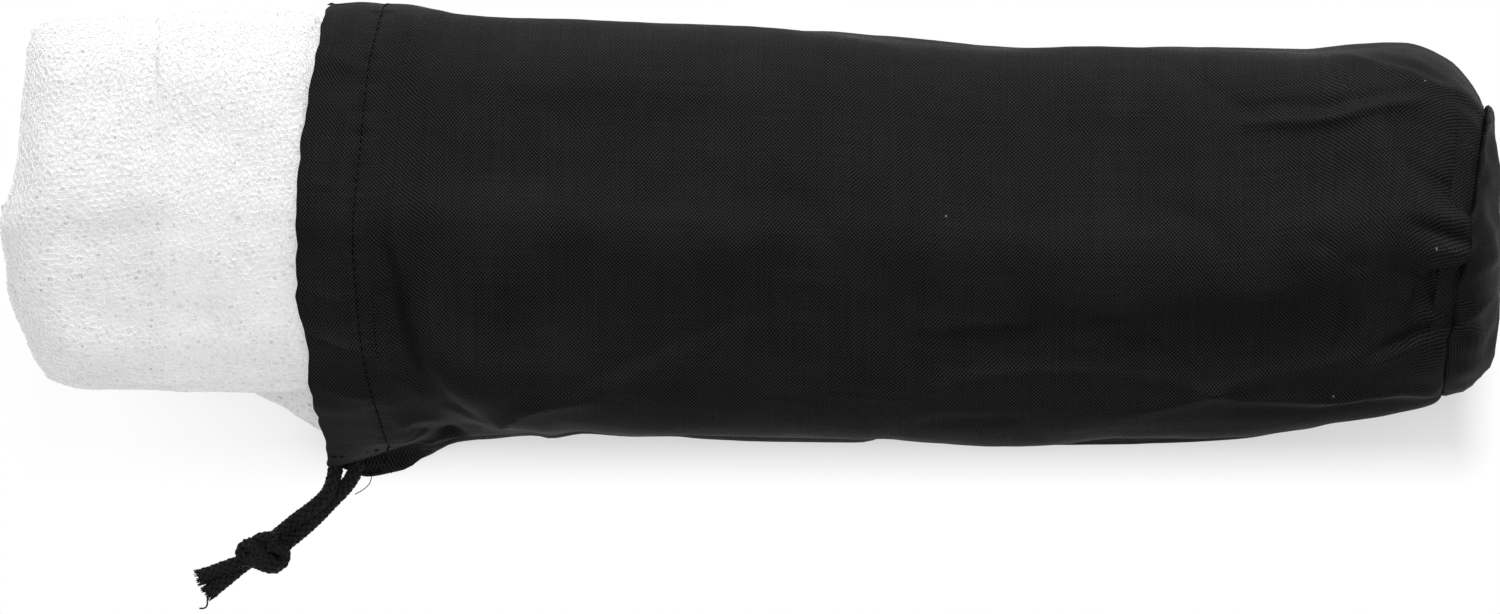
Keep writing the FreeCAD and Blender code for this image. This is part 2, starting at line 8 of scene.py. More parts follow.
import bmesh
import bpy
import numpy as np
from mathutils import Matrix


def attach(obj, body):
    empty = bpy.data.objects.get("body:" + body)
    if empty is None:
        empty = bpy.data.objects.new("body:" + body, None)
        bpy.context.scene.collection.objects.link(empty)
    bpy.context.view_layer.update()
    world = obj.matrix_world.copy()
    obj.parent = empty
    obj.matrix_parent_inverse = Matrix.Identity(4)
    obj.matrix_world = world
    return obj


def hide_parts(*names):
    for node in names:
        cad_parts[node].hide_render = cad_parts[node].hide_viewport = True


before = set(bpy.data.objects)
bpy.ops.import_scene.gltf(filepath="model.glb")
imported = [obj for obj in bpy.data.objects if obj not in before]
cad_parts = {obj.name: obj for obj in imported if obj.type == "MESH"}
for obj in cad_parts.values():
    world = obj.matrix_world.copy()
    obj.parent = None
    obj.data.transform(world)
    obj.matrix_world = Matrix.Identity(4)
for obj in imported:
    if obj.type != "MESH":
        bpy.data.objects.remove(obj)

Colour = tuple[float, float, float]
Route = list[tuple[float, float, float]]
Stops = list[tuple[float, float]]
Material = bpy.types.Material
Piece = bpy.types.Object
Socket = bpy.types.NodeSocket

LOG = logging.getLogger("dressing")

# All sizes below are in millimetres, on the same marks as the part's source.
MM = 0.001
MOUTH_X = -150.8
MOUTH_HEIGHT = 75.0
BODY_LENGTH = 388.0
FLOOR_GAP = 0.35
UP = np.array([0.0, 0.0, 1.0])


class Body(Enum):
    """The bodies that pieces ride on."""

    BAG = "bag"
    DRAWCORD = "drawcord_end"
    NET = "net"


class Slot(Enum):
    """The material slots."""

    CLOTH = "bag_cloth"
    NET = "net_mesh"
    BRAID = "cord_braid"
    THREAD = "sewing_thread"


def eased(value: np.ndarray, low: float, high: float) -> np.ndarray:
    """Return a share that rises smoothly from 0 at low to 1 at high."""
    share = np.clip((np.asarray(value, float) - low) / (high - low), 0.0, 1.0)
    return share * share * (3 - 2 * share)


def curve_through(places: np.ndarray, values: np.ndarray, at: float) -> np.ndarray:
    """Read a table at a place, on a smooth line that never swings past its values.

    Args:
        places: Rising places of the table's rows.
        values: One row of numbers for each place.
        at: The place to read.

    Returns:
        The numbers at that place.
    """
    gap = np.diff(places)
    rise = np.diff(values, axis=0) / gap[:, None]
    slope = np.zeros_like(values)
    slope[0], slope[-1] = rise[0], rise[-1]
    product = rise[:-1] * rise[1:]
    total = rise[:-1] + rise[1:]
    slope[1:-1] = np.where(product > 0, 2 * product / np.where(total == 0, 1, total), 0.0)
    i = int(np.clip(np.searchsorted(places, at) - 1, 0, len(gap) - 1))
    share = float(np.clip((at - places[i]) / gap[i], 0.0, 1.0))
    square, cube = share * share, share**3
    start, end = 2 * cube - 3 * square + 1, 3 * square - 2 * cube
    leave, arrive = cube - 2 * square + share, cube - square
    return start * values[i] + end * values[i + 1] + gap[i] * (leave * slope[i] + arrive * slope[i + 1])


def lengths_along(line: np.ndarray) -> np.ndarray:
    """Return how far along a line each of its points lies."""
    return np.concatenate([[0.0], np.cumsum(np.linalg.norm(np.diff(line, axis=0), axis=1))])


def rows_along(grid: np.ndarray) -> np.ndarray:
    """Return how far along a grid each of its rows lies on average."""
    return np.concatenate([[0.0], np.cumsum(np.linalg.norm(np.diff(grid, axis=0), axis=2).mean(axis=1))])


def read_line(line: np.ndarray, places: np.ndarray, marks: np.ndarray | float) -> np.ndarray:
    """Return a line's points at marks, where places says how far along its own points lie."""
    return np.stack([np.interp(marks, places, line[:, i]) for i in range(line.shape[1])], axis=-1)


def resampled(line: np.ndarray, step: float) -> np.ndarray:
    """Return a line's points at even steps."""
    places = lengths_along(line)
    count = max(2, int(round(places[-1] / step)) + 1)
    return read_line(line, places, np.linspace(0, places[-1], count))


def cloth_grid(across: np.ndarray, along: np.ndarray) -> np.ndarray:
    """Return a grid of the cloth's own distances, rows by columns."""
    return np.stack(np.meshgrid(across, along), axis=-1)


def facing(points: np.ndarray, closed: bool = True) -> np.ndarray:
    """Return the outward direction at each point of a grid of rows and columns."""
    along = np.gradient(points, axis=0)
    if closed:
        across = np.roll(points, -1, axis=1) - np.roll(points, 1, axis=1)
    else:
        across = np.gradient(points, axis=1)
    normal = np.cross(across, along)
    length = np.linalg.norm(normal, axis=2, keepdims=True)
    return normal / np.maximum(length, 1e-9)


def unit_rows(ways: np.ndarray) -> np.ndarray:
    """Return directions at length 1, one in each row."""
    return ways / np.linalg.norm(ways, axis=1, keepdims=True)


def carried_frame(line: np.ndarray, up: np.ndarray) -> tuple[np.ndarray, np.ndarray]:
    """Return upward and sideways directions along a line, turned as little as they can be."""
    heading = unit_rows(np.gradient(line, axis=0))
    upward = np.zeros_like(line)
    current = up
    for i, way in enumerate(heading):
        current = current - way * (current @ way)
        current = current / np.linalg.norm(current)
        upward[i] = current
    return upward, np.cross(heading, upward)


@dataclass(frozen=True)
class Section:
    """One cross-section of the bag or the net, stretched around five circles, in millimetres.

    The circles' radii are shares of the height. Slump lets the south side sink into a thin lip, lean tips
    the section back along the bag and skew turns it as seen from above.
    """

    place: float
    north: float
    south: float
    sole: float
    top: float
    slump: float = 0.0
    lean: float = 0.0
    skew: float = 0.0

    LOW_SHARE = 0.33
    SIDE_SHARE = 0.38
    CROWN_SHARE = 0.47
    SHOULDER_RISE = 0.2
    SLUMPED_TIP = 11.0
    SLUMPED_SHOULDER = 48.0
    STEPS = 1440

    def circles(self) -> np.ndarray:
        """Return the five circles, one row each: across, up, radius."""
        height = self.top - self.sole
        low, side, crown = self.LOW_SHARE * height, self.SIDE_SHARE * height, self.CROWN_SHARE * height
        shoulder_z = self.sole + low + self.SHOULDER_RISE * height
        tip = low + (self.SLUMPED_TIP - low) * self.slump
        shoulder = side + (self.SLUMPED_SHOULDER - side) * self.slump
        middle = (self.north + self.south + shoulder - side) / 2
        return np.array([
            (self.north - low, self.sole + low, low),
            (self.north - side, shoulder_z, side),
            (middle, self.top - crown, crown),
            (self.south + shoulder, shoulder_z, side),
            (self.south + tip, self.sole + tip, tip),
        ])

    def outline(self, inset: float = 0.0) -> np.ndarray:
        """Return the closed outline, from the middle of the bottom by way of the north side."""
        angle = np.linspace(-math.pi / 2, 1.5 * math.pi, self.STEPS + 1)[:-1] + 0.002
        outward = np.stack([np.cos(angle), np.sin(angle)], axis=1)
        circles = self.circles()
        radius = np.maximum(circles[:, 2] - inset, 0.05)
        best = (outward @ circles[:, :2].T + radius).argmax(axis=1)
        points = circles[best, :2] + outward * radius[best][:, None]
        start = np.array([[2.0, points[0, 1]]])
        return np.concatenate([start, points, start])

    def ring(self, count: int, inset: float = 0.0, low_share: float = 1.0) -> tuple[np.ndarray, np.ndarray]:
        """Return points round the outline and how far round each lies from the top.

        Args:
            count: How many points.
            inset: How far inside the outline.
            low_share: How dense the points are at the floor, as a share of those above.

        Returns:
            The points, and their distances from the middle of the upper side.
        """
        line = self.outline(inset)
        places = lengths_along(line)
        steps = np.linalg.norm(np.diff(line, axis=0), axis=1)
        dense = low_share + (1 - low_share) * eased(line[1:, 1] - self.sole, 0.5, 12.0)
        counted = np.concatenate([[0.0], np.cumsum(steps * dense)])
        marks = np.linspace(0, counted[-1], count + 1)[:-1]
        return read_line(line, counted, marks), np.interp(marks, counted, places) - places[-1] / 2

    def south_at(self, height: np.ndarray | float, inset: float = 0.0) -> np.ndarray:
        """Return how far across the outline's south side lies at a height."""
        line = self.outline(inset)
        side = line[len(line) // 2:][::-1]
        return np.interp(height, side[:, 1], side[:, 0])

    def placed(self, ring: np.ndarray) -> np.ndarray:
        """Return outline points in the part's frame."""
        y, z = ring[:, 0], ring[:, 1]
        lean, skew = math.radians(self.lean), math.radians(self.skew)
        x = MOUTH_X + self.place + (MOUTH_HEIGHT - z) * math.sin(lean) * (lean > 0) + y * math.sin(skew)
        return np.stack([x, y * math.cos(skew), z * math.cos(lean)], axis=1)


@dataclass
class Form:
    """A long shape given by a table of sections."""

    rows: list[tuple[float, ...]]

    def at(self, place: float) -> Section:
        """Return the section at a place, on smooth lines between the rows."""
        table = np.array(self.rows, float)
        return Section(place, *curve_through(table[:, 0], table[:, 1:], place))


@dataclass(frozen=True)
class Ripple:
    """Smooth seeded waves, the small unevenness of a soft surface."""

    seed: int
    length: float
    height: float
    stretch: float = 1.0
    waves: int = 14

    def at(self, points: np.ndarray) -> np.ndarray:
        """Return the height of the waves at points, whose folds run longer along the bag by the stretch."""
        rng = np.random.default_rng(self.seed)
        total = np.zeros(points.shape[:-1])
        for _ in range(self.waves):
            way = rng.normal(size=3) / np.array([self.stretch, 1.0, 1.0])
            way /= np.linalg.norm(way * np.array([self.stretch, 1.0, 1.0]))
            length = self.length * rng.uniform(0.6, 1.7)
            total += np.sin(points @ way * 2 * math.pi / length + rng.uniform(0, 2 * math.pi))
        return self.height * total / math.sqrt(self.waves)


@dataclass(frozen=True)
class Fold:
    """A crease or soft ridge that runs over the upper side, along given points in millimetres.

    The height lifts the cloth along the route. The step lifts the side to the route's left and sinks the
    other.
    """

    route: tuple[tuple[float, float], ...]
    width: float
    height: float
    step: float = 0.0

    STEPS = 12
    REACH = 3.5

    def line(self) -> np.ndarray:
        """Return the route as a smooth line of close points."""
        route = np.array(self.route, float)
        marks = np.arange(len(route), dtype=float)
        fine = np.linspace(0, len(route) - 1, self.STEPS * (len(route) - 1) + 1)
        return np.array([curve_through(marks, route, mark) for mark in fine])

    def at(self, points: np.ndarray) -> np.ndarray:
        """Return how far the fold lifts or sinks the surface at points seen from above."""
        line = self.line()
        flat = points[..., :2].reshape(-1, 2)
        best = np.full(len(flat), 1e9)
        side = np.zeros(len(flat))
        share = np.zeros(len(flat))
        for i, (start, end) in enumerate(zip(line[:-1], line[1:])):
            way = end - start
            along = np.clip((flat - start) @ way / (way @ way), 0.0, 1.0)
            off = flat - start - along[:, None] * way
            distance = np.hypot(off[:, 0], off[:, 1])
            nearer = distance < best
            best = np.where(nearer, distance, best)
            side = np.where(nearer, np.sign(way[0] * off[:, 1] - way[1] * off[:, 0]), side)
            share = np.where(nearer, (i + along) / (len(line) - 1), share)
        taper = np.sqrt(np.clip(np.sin(math.pi * np.clip(0.04 + 0.92 * share, 0, 1)), 0, 1))
        near = best / self.width
        lift = self.height * np.exp(-near**1.5)
        lift += self.step * side * np.tanh(near) * np.exp(-((near / self.REACH) ** 2))
        return (lift * taper).reshape(points.shape[:-1])


@dataclass
class Shell:
    """Points and faces of a piece, in millimetres, with the cloth's own distances at each point."""

    points: list[np.ndarray] = field(default_factory=list)
    spread: list[np.ndarray] = field(default_factory=list)
    faces: list[tuple[int, ...]] = field(default_factory=list)
    count: int = 0

    def add(self, points: np.ndarray, spread: np.ndarray | None = None) -> int:
        """Add points and return the number of the first one."""
        first = self.count
        flat = points.reshape(-1, 3)
        self.points.append(flat)
        self.spread.append(np.zeros((len(flat), 2)) if spread is None else spread.reshape(-1, 2))
        self.count += len(flat)
        return first

    def grid(self, points: np.ndarray, spread: np.ndarray | None = None, closed: bool = True,
             capped: bool = False, keep: np.ndarray | None = None) -> int:
        """Add a grid of rows and columns with its faces.

        Args:
            points: The grid's points, rows by columns.
            spread: The cloth's distances at the points.
            closed: Whether the last column joins the first.
            capped: Whether one face closes each end.
            keep: Which cells stay, or None for all.

        Returns:
            The number of the first point.
        """
        first = self.add(points, spread)
        rows, columns = points.shape[:2]
        for i in range(rows - 1):
            for j in range(columns if closed else columns - 1):
                if keep is None or keep[i, j]:
                    k = (j + 1) % columns
                    a, b = first + i * columns, first + (i + 1) * columns
                    self.faces.append((a + j, a + k, b + k, b + j))
        if capped:
            last = first + (rows - 1) * columns
            self.faces.append(tuple(range(first + columns - 1, first - 1, -1)))
            self.faces.append(tuple(range(last, last + columns)))
        return first

    def tube(self, centres: np.ndarray, outward: np.ndarray, aside: np.ndarray, sides: int) -> None:
        """Add a closed tube along centres.

        Args:
            centres: The tube's centre line.
            outward: Half the tube's thickness at each centre, as a vector.
            aside: Half the tube's width at each centre, as a vector.
            sides: How many sides the tube has.
        """
        angle = np.linspace(0, 2 * math.pi, sides, endpoint=False)[None, :, None]
        ring = np.cos(angle) * outward[:, None, :] + np.sin(angle) * aside[:, None, :]
        self.grid(centres[:, None, :] + ring, capped=True)

    def build(self, name: str, finish: Material, thickness: float = 0.0, wrap: float = 0.0) -> Piece:
        """Make the piece.

        Args:
            name: The piece's name.
            finish: Its material.
            thickness: How thick the sheet is made, inwards.
            wrap: The distance round, where the sheet closes on itself.

        Returns:
            The new object, linked to the scene.
        """
        mesh = bpy.data.meshes.new(name)
        points = np.concatenate(self.points) * MM
        mesh.from_pydata(points.tolist(), [], self.faces)
        mesh.polygons.foreach_set("use_smooth", np.ones(len(mesh.polygons), bool))
        spread = np.concatenate(self.spread)
        if spread.any():
            self.lay_out(mesh, spread, wrap)
        mesh.materials.append(finish)
        mesh.update()
        piece = bpy.data.objects.new(name, mesh)
        bpy.context.collection.objects.link(piece)
        if thickness:
            solid = piece.modifiers.new("thickness", "SOLIDIFY")
            solid.thickness = thickness * MM
            solid.offset = -1.0
            apply_modifiers(piece)
        return piece

    def lay_out(self, mesh: bpy.types.Mesh, spread: np.ndarray, wrap: float) -> None:
        """Write the cloth's distances to a mesh, whole again in the faces that close the round."""
        corners = np.zeros(len(mesh.loops), int)
        mesh.loops.foreach_get("vertex_index", corners)
        values = spread[corners]
        if wrap:
            starts = np.zeros(len(mesh.polygons), int)
            mesh.polygons.foreach_get("loop_start", starts)
            totals = np.diff(np.append(starts, len(corners)))
            most = np.repeat(np.maximum.reduceat(values[:, 0], starts), totals)
            values[:, 0] += np.where(most - values[:, 0] > wrap / 2, wrap, 0.0)
        layer = mesh.uv_layers.new(name="cloth")
        layer.data.foreach_set("uv", values.ravel().astype(np.float32))


def apply_modifiers(piece: Piece) -> None:
    """Turn a piece's modifiers into its own mesh."""
    bpy.context.view_layer.update()
    graph = bpy.context.evaluated_depsgraph_get()
    mesh = bpy.data.meshes.new_from_object(piece.evaluated_get(graph), depsgraph=graph)
    piece.modifiers.clear()
    piece.data = mesh


def dress(piece: Piece, body: Body, slot: Slot, *nodes: str) -> Piece:
    """Let a piece ride on its body and stand for its nodes."""
    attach(piece, body.value)
    if nodes:
        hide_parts(*nodes)
    LOG.info("%s: %d faces, rides on %s", piece.name, len(piece.data.polygons), body.value)
    return piece


class Recipe:
    """A material as it is mixed, node by node."""

    PATCHES = (0.3, 0.7)
    GRAIN = (0.35, 0.65)

    def __init__(self, name: str, colour: Colour, roughness: float, specular: float) -> None:
        """Start a material with its plain constants on the shader."""
        self.material = bpy.data.materials.new(name)
        self.material.use_nodes = True
        self.tree = self.material.node_tree
        self.shader = self.tree.nodes["Principled BSDF"]
        self.hold({"Base Color": (*colour, 1.0), "Roughness": roughness, "Specular IOR Level": specular})

    def hold(self, constants: dict[str, object]) -> None:
        """Set constants on the shader's own sockets."""
        for socket, value in constants.items():
            self.shader.inputs[socket].default_value = value

    def node(self, kind: str, inputs: dict[str | int, object] | None = None,
             **settings: object) -> bpy.types.Node:
        """Add a node.

        Args:
            kind: The node's type, without its prefix.
            inputs: Numbers for its sockets, or other nodes' sockets to link.
            settings: Values of the node's own settings.

        Returns:
            The new node.
        """
        node = self.tree.nodes.new("ShaderNode" + kind)
        for key, value in settings.items():
            setattr(node, key, value)
        for key, value in (inputs or {}).items():
            if isinstance(value, Socket):
                self.tree.links.new(value, node.inputs[key])
            else:
                node.inputs[key].default_value = value
        return node

    def cloth_place(self) -> Socket:
        """Return the place in the cloth's own distances, in millimetres."""
        return self.node("UVMap", uv_map="cloth").outputs["UV"]

    def object_place(self) -> Socket:
        """Return the place in the piece, in metres."""
        return self.node("TexCoord").outputs["Object"]

    def mapped(self, place: Socket, **settings: Colour) -> Socket:
        """Return a place that is scaled, turned or moved."""
        return self.node("Mapping", {"Vector": place, **settings}).outputs[0]

    def noise(self, place: Socket, scale: float, detail: float, roughness: float = 0.5) -> Socket:
        """Return a noise's share at a place."""
        return self.node("TexNoise", {"Vector": place, "Scale": scale, "Detail": detail,
                                      "Roughness": roughness}).outputs["Fac"]

    def maths(self, operation: str, first: object, second: object = 0.0) -> Socket:
        """Return the result of a sum on two numbers or sockets."""
        return self.node("Math", {0: first, 1: second}, operation=operation).outputs[0]

    def between(self, share: Socket, low: Colour | Socket, high: Colour) -> Socket:
        """Return a colour between two, by a share from 0 to 1."""
        start = low if isinstance(low, Socket) else (*low, 1.0)
        return self.node("Mix", {0: share, 6: start, 7: (*high, 1.0)}, data_type="RGBA").outputs[2]

    def ranged(self, value: Socket, low: float, high: float, start: float, end: float) -> Socket:
        """Return a value moved from one range to another."""
        return self.node("MapRange", {0: value, 1: low, 2: high, 3: start, 4: end}).outputs[0]

    def feed(self, socket: str, value: Socket) -> None:
        """Link a result to one of the shader's sockets."""
        self.tree.links.new(value, self.shader.inputs[socket])

    def bump(self, height: Socket, distance: float) -> None:
        """Raise the surface by a height, in millimetres."""
        node = self.node("Bump", {"Strength": 1.0, "Distance": distance * MM, "Height": height})
        self.feed("Normal", node.outputs["Normal"])


@dataclass(frozen=True)
class ClothFinish:
    """Black plain-woven cloth with a low satin gloss, a few uneven yarns and specks of lint."""

    name: str = "black_plain_weave"
    dark: Colour = (0.0002, 0.0002, 0.0003)
    light: Colour = (0.0256, 0.0256, 0.0262)
    lint: Colour = (0.16, 0.16, 0.16)
    along_pitch: float = 1.22
    across_pitch: float = 1.3
    drift: float = 0.5
    yarn_share: float = 0.09
    yarn_scales: tuple[Colour, Colour] = ((2.6, 0.02, 1.0), (0.02, 1.9, 1.0))
    roughness: float = 0.56
    specular: float = 0.055

    def make(self) -> Material:
        """Return the material, woven in the cloth's own distances."""
        recipe = Recipe(self.name, self.light, self.roughness, self.specular)
        place = recipe.cloth_place()
        parts = recipe.node("SeparateXYZ", {0: place})
        drift = recipe.ranged(recipe.noise(place, 0.09, 2.0), *recipe.PATCHES, -self.drift, self.drift)
        around = recipe.maths("ADD", parts.outputs[0], drift)
        weave = recipe.maths("MULTIPLY", *[
            recipe.maths("SINE", recipe.maths("MULTIPLY", distance, 2 * math.pi / pitch))
            for distance, pitch in ((around, self.across_pitch), (parts.outputs[1], self.along_pitch))])
        yarns = recipe.maths("ADD", *[
            recipe.noise(recipe.mapped(place, Scale=scale), 1.0, 1.0) for scale in self.yarn_scales])
        worn = recipe.noise(place, 0.035, 4.0, 0.6)
        share = recipe.ranged(weave, -0.5, 0.75, 0.0, 0.85)
        share = recipe.maths("ADD", share, recipe.ranged(yarns, 0.7, 1.3, -self.yarn_share, self.yarn_share))
        share = recipe.maths("ADD", share, recipe.ranged(worn, *recipe.PATCHES, -0.08, 0.1))
        specks = recipe.node("TexVoronoi", {"Vector": place, "Scale": 0.045, "Randomness": 1.0})
        speck = recipe.ranged(specks.outputs["Distance"], 0.012, 0.022, 1.0, 0.0)
        woven = recipe.between(share, self.dark, self.light)
        recipe.feed("Base Color", recipe.between(speck, woven, self.lint))
        recipe.feed("Roughness", recipe.ranged(
            worn, *recipe.PATCHES, self.roughness - 0.06, self.roughness + 0.08))
        recipe.bump(recipe.maths("ADD", weave, yarns), 0.1)
        return recipe.material


@dataclass(frozen=True)
class NetFinish:
    """White knitted mesh; its holes, where deeper layers show, are darkened with painted shade.

    The lift is a painted glow of the mesh's own colour. It stands for light that scatters between many
    layers.
    """

    name: str = "white_knitted_mesh"
    colour: Colour = (0.63, 0.63, 0.63)
    # The holes' colour is painted shade between the layers, not a darker dye.
    hole_shade: Colour = (0.4, 0.4, 0.403)
    thread_dark: Colour = (0.59, 0.59, 0.594)
    thread_light: Colour = (0.69, 0.69, 0.69)
    roughness: float = 0.62
    specular: float = 0.1
    sheen: float = 0.15
    scatter: float = 0.3
    scatter_reach: float = 0.006
    # Strength of the painted glow.
    lift: float = 0.38
    pitch: float = 2.4
    holes: bool = True

    def make(self) -> Material:
        """Return the material, with holes in the cloth's own distances or plain for real threads."""
        recipe = Recipe(self.name, self.colour, self.roughness, self.specular)
        # Painted glow: the mesh also shines with emission, so it is brighter than its lamps make it.
        recipe.hold({"Sheen Weight": self.sheen, "Subsurface Weight": self.scatter,
                     "Subsurface Radius": (1.0, 1.0, 1.0), "Subsurface Scale": self.scatter_reach,
                     "Emission Strength": self.lift})
        place = recipe.object_place()
        shade = recipe.noise(place, 38.0, 3.0)
        colour = self.holed(recipe) if self.holes else self.threaded(recipe, place, shade)
        recipe.feed("Base Color", colour)
        # The painted glow takes the same colour, including the holes' painted shade.
        recipe.feed("Emission Color", colour)
        recipe.feed("Roughness", recipe.ranged(shade, *recipe.PATCHES, 0.55, 0.7))
        return recipe.material

    def holed(self, recipe: Recipe) -> Socket:
        """Return the colour of two layers of holes, darkened with painted shade of the layers beneath, and
        sink them into the surface.
        """
        place = recipe.cloth_place()
        moved = recipe.mapped(place, Rotation=(0.0, 0.0, 0.4), Location=(3.1, 1.7, 0.0))
        layers = []
        for at, scale, randomness, edges in ((place, 1.0, 0.72, (0.12, 0.3, 0.0, 1.0)),
                                             (moved, 1.12, 0.8, (0.1, 0.32, 0.35, 1.0))):
            cells = recipe.node("TexVoronoi", {"Vector": at, "Scale": scale / self.pitch,
                                               "Randomness": randomness}, feature="DISTANCE_TO_EDGE")
            layers.append(recipe.ranged(cells.outputs["Distance"], *edges))
        open_share = recipe.maths("MULTIPLY", *layers)
        recipe.bump(recipe.maths("SUBTRACT", 1.0, open_share), 0.12)
        # Painted shade: the open parts of the holes take the darker colour.
        return recipe.between(open_share, self.colour, self.hole_shade)

    def threaded(self, recipe: Recipe, place: Socket, shade: Socket) -> Socket:
        """Return the colour of real threads, and roughen them with fibres."""
        fibre = recipe.noise(place, 2600.0, 2.0)
        share = recipe.maths("ADD", recipe.ranged(shade, *recipe.PATCHES, 0.0, 0.6),
                             recipe.ranged(fibre, *recipe.PATCHES, 0.0, 0.4))
        recipe.bump(fibre, 0.06)
        return recipe.between(share, self.thread_dark, self.thread_light)


@dataclass(frozen=True)
class YarnFinish:
    """Twisted or braided yarn, finely streaked."""

    name: str
    dark: Colour
    light: Colour
    roughness: float
    specular: float

    def make(self) -> Material:
        """Return the material."""
        recipe = Recipe(self.name, self.light, self.roughness, self.specular)
        place = recipe.object_place()
        fibre = recipe.noise(place, 3200.0, 3.0, 0.7)
        patch = recipe.noise(place, 160.0, 2.0)
        share = recipe.maths("ADD", recipe.ranged(fibre, *recipe.GRAIN, 0.0, 0.65),
                             recipe.ranged(patch, *recipe.GRAIN, 0.0, 0.35))
        recipe.feed("Base Color", recipe.between(share, self.dark, self.light))
        recipe.feed("Roughness", recipe.ranged(
            patch, *recipe.GRAIN, self.roughness - 0.08, self.roughness + 0.1))
        recipe.bump(fibre, 0.05)
        return recipe.material


@dataclass(frozen=True)
class FloorFinish:
    """Pale floor that shows white to the camera, apart from the shadow close to the bag at rest."""

    name: str = "pale_floor"
    colour: Colour = (0.96, 0.96, 0.96)
    half_length: float = 0.236
    half_width: float = 0.067
    reach: float = 0.0145
    shadow_share: float = 0.46
    net_share: float = 0.12

    def make(self) -> Material:
        """Return the material."""
        recipe = Recipe(self.name, self.colour, 0.9, 0.1)
        recipe.bump(recipe.node("TexNoise", {"Scale": 400.0, "Detail": 2.0}).outputs["Fac"], 0.02)
        glow = recipe.node("Emission", {"Color": (1.0, 1.0, 1.0, 1.0), "Strength": 1.0})
        share = recipe.maths("MULTIPLY", self.seen(recipe),
                             recipe.maths("SUBTRACT", 1.0, self.shaded(recipe)))
        mix = recipe.node("MixShader", {0: share, 1: recipe.shader.outputs[0], 2: glow.outputs[0]})
        output = next(node for node in recipe.tree.nodes if node.type == "OUTPUT_MATERIAL")
        recipe.tree.links.new(mix.outputs[0], output.inputs["Surface"])
        return recipe.material

    def seen(self, recipe: Recipe) -> Socket:
        """Return 1 where the floor is looked at, straight, by reflection or through something."""
        path = recipe.node("LightPath")
        seen = recipe.maths("MAXIMUM", path.outputs["Is Camera Ray"], path.outputs["Is Glossy Ray"])
        return recipe.maths("MAXIMUM", seen, path.outputs["Is Transmission Ray"])

    def shaded(self, recipe: Recipe) -> Socket:
        """Return how much of the floor's real shading shows: most south of the bag, least at the net."""
        parts = recipe.node("SeparateXYZ", {0: recipe.object_place()})
        beyond = []
        for axis, half in ((0, self.half_length), (1, self.half_width)):
            distance = recipe.maths("ABSOLUTE", parts.outputs[axis])
            gap = recipe.maths("MAXIMUM", recipe.maths("SUBTRACT", distance, half), 0.0)
            beyond.append(recipe.maths("POWER", gap, 2.0))
        away = recipe.maths("SQRT", recipe.maths("ADD", *beyond))
        shade = recipe.ranged(away, 0.0, self.reach, self.shadow_share, 0.0)
        shade = recipe.maths("MULTIPLY", shade,
                             recipe.ranged(parts.outputs[0], -0.215, -0.12, self.net_share, 1.0))
        return recipe.maths("MULTIPLY", shade, recipe.ranged(parts.outputs[1], 0.0, 0.04, 1.0, 0.0))


@dataclass
class Sewing:
    """Rows of machine stitches."""

    finish: Material
    thread: float = 0.5
    pitch: float = 2.7
    length: float = 2.25
    lift: float = 0.3
    unevenness: float = 0.12

    SHARES = np.array([0.0, 0.12, 0.35, 0.65, 0.88, 1.0])
    HEIGHTS = np.array([-0.45, 0.05, 0.95, 0.95, 0.05, -0.45])
    GIRTHS = np.array([0.55, 0.85, 1.0, 1.0, 0.85, 0.55])

    def stitch(self, shell: Shell, start: np.ndarray, end: np.ndarray, outward: np.ndarray) -> None:
        """Add one stitch that rises out of the cloth and sinks into it again."""
        heights = self.HEIGHTS * self.lift
        line = start + self.SHARES[:, None] * (end - start) + heights[:, None] * outward
        way = (end - start) / max(np.linalg.norm(end - start), 1e-6)
        girth = self.GIRTHS[:, None] * self.thread / 2
        shell.tube(line, outward[None, :] * girth * 0.85, np.cross(way, outward)[None, :] * girth, sides=7)

    def row(self, name: str, line: np.ndarray, outward: np.ndarray, skip: np.ndarray | None = None) -> Piece:
        """Sew a row of stitches along a line.

        Args:
            name: The piece's name.
            line: The points to sew along.
            outward: The cloth's outward direction at each point.
            skip: Which points are left unsewn.

        Returns:
            The row as one piece.
        """
        shell = Shell()
        places = lengths_along(line)
        rng = np.random.default_rng(len(line))
        for i in range(int(places[-1] // self.pitch)):
            middle = (i + 0.5) * self.pitch + rng.uniform(-self.unevenness, self.unevenness)
            start, end = (read_line(line, places, middle + way * self.length / 2) for way in (-1, 1))
            near = int(np.argmin(np.abs(places - middle)))
            if skip is None or not skip[near]:
                self.stitch(shell, start, end, outward[near])
        return shell.build(name, self.finish)


# Each row is a place from the mouth, north, south, sole, top, slump, lean and skew.
BAG_ROWS = [
    (0, 79.2, -79.88, 0.8, 75, 1, 8.5, 0),
    (26, 79.2, -79.88, 0.8, 75, 1, 8.5, 0),
    (34, 77.9, -76.5, 0.5, 75.3, 0.88, 7.6, 0),
    (48, 75.9, -70, 0, 76, 0.52, 6, 0),
    (75, 73.8, -66.6, 0, 78, 0.08, 3, 0),
    (105, 72.6, -65.6, 0, 78.5, 0, 0, 0),
    (174.6, 70.6, -67.4, 0, 79, 0, 0, 0),
    (190, 68.9, -67.6, 0, 79, 0, 0, 0),
    (240.6, 64.2, -68.6, 0, 79, 0, 0, 0),
    (277, 63.8, -68.5, 0, 79.4, 0, 0, 0),
    (310, 63.3, -66.5, 0, 80, 0, 0, 0),
    (335, 62.7, -63, 0, 81, 0, 0, 1.4),
    (347, 64.5, -60.8, 0, 81.3, 0, 0, 3.6),
    (362, 65.2, -58, 0, 82, 0, 0, 5.4),
    (374, 60.4, -56, 0, 83, 0, 0, 7.6),
    (382, 53, -54.5, 0.3, 83.5, 0, 0, 8.6),
    (388, 46, -52.5, 0.8, 82, 0, 0, 9.3),
]

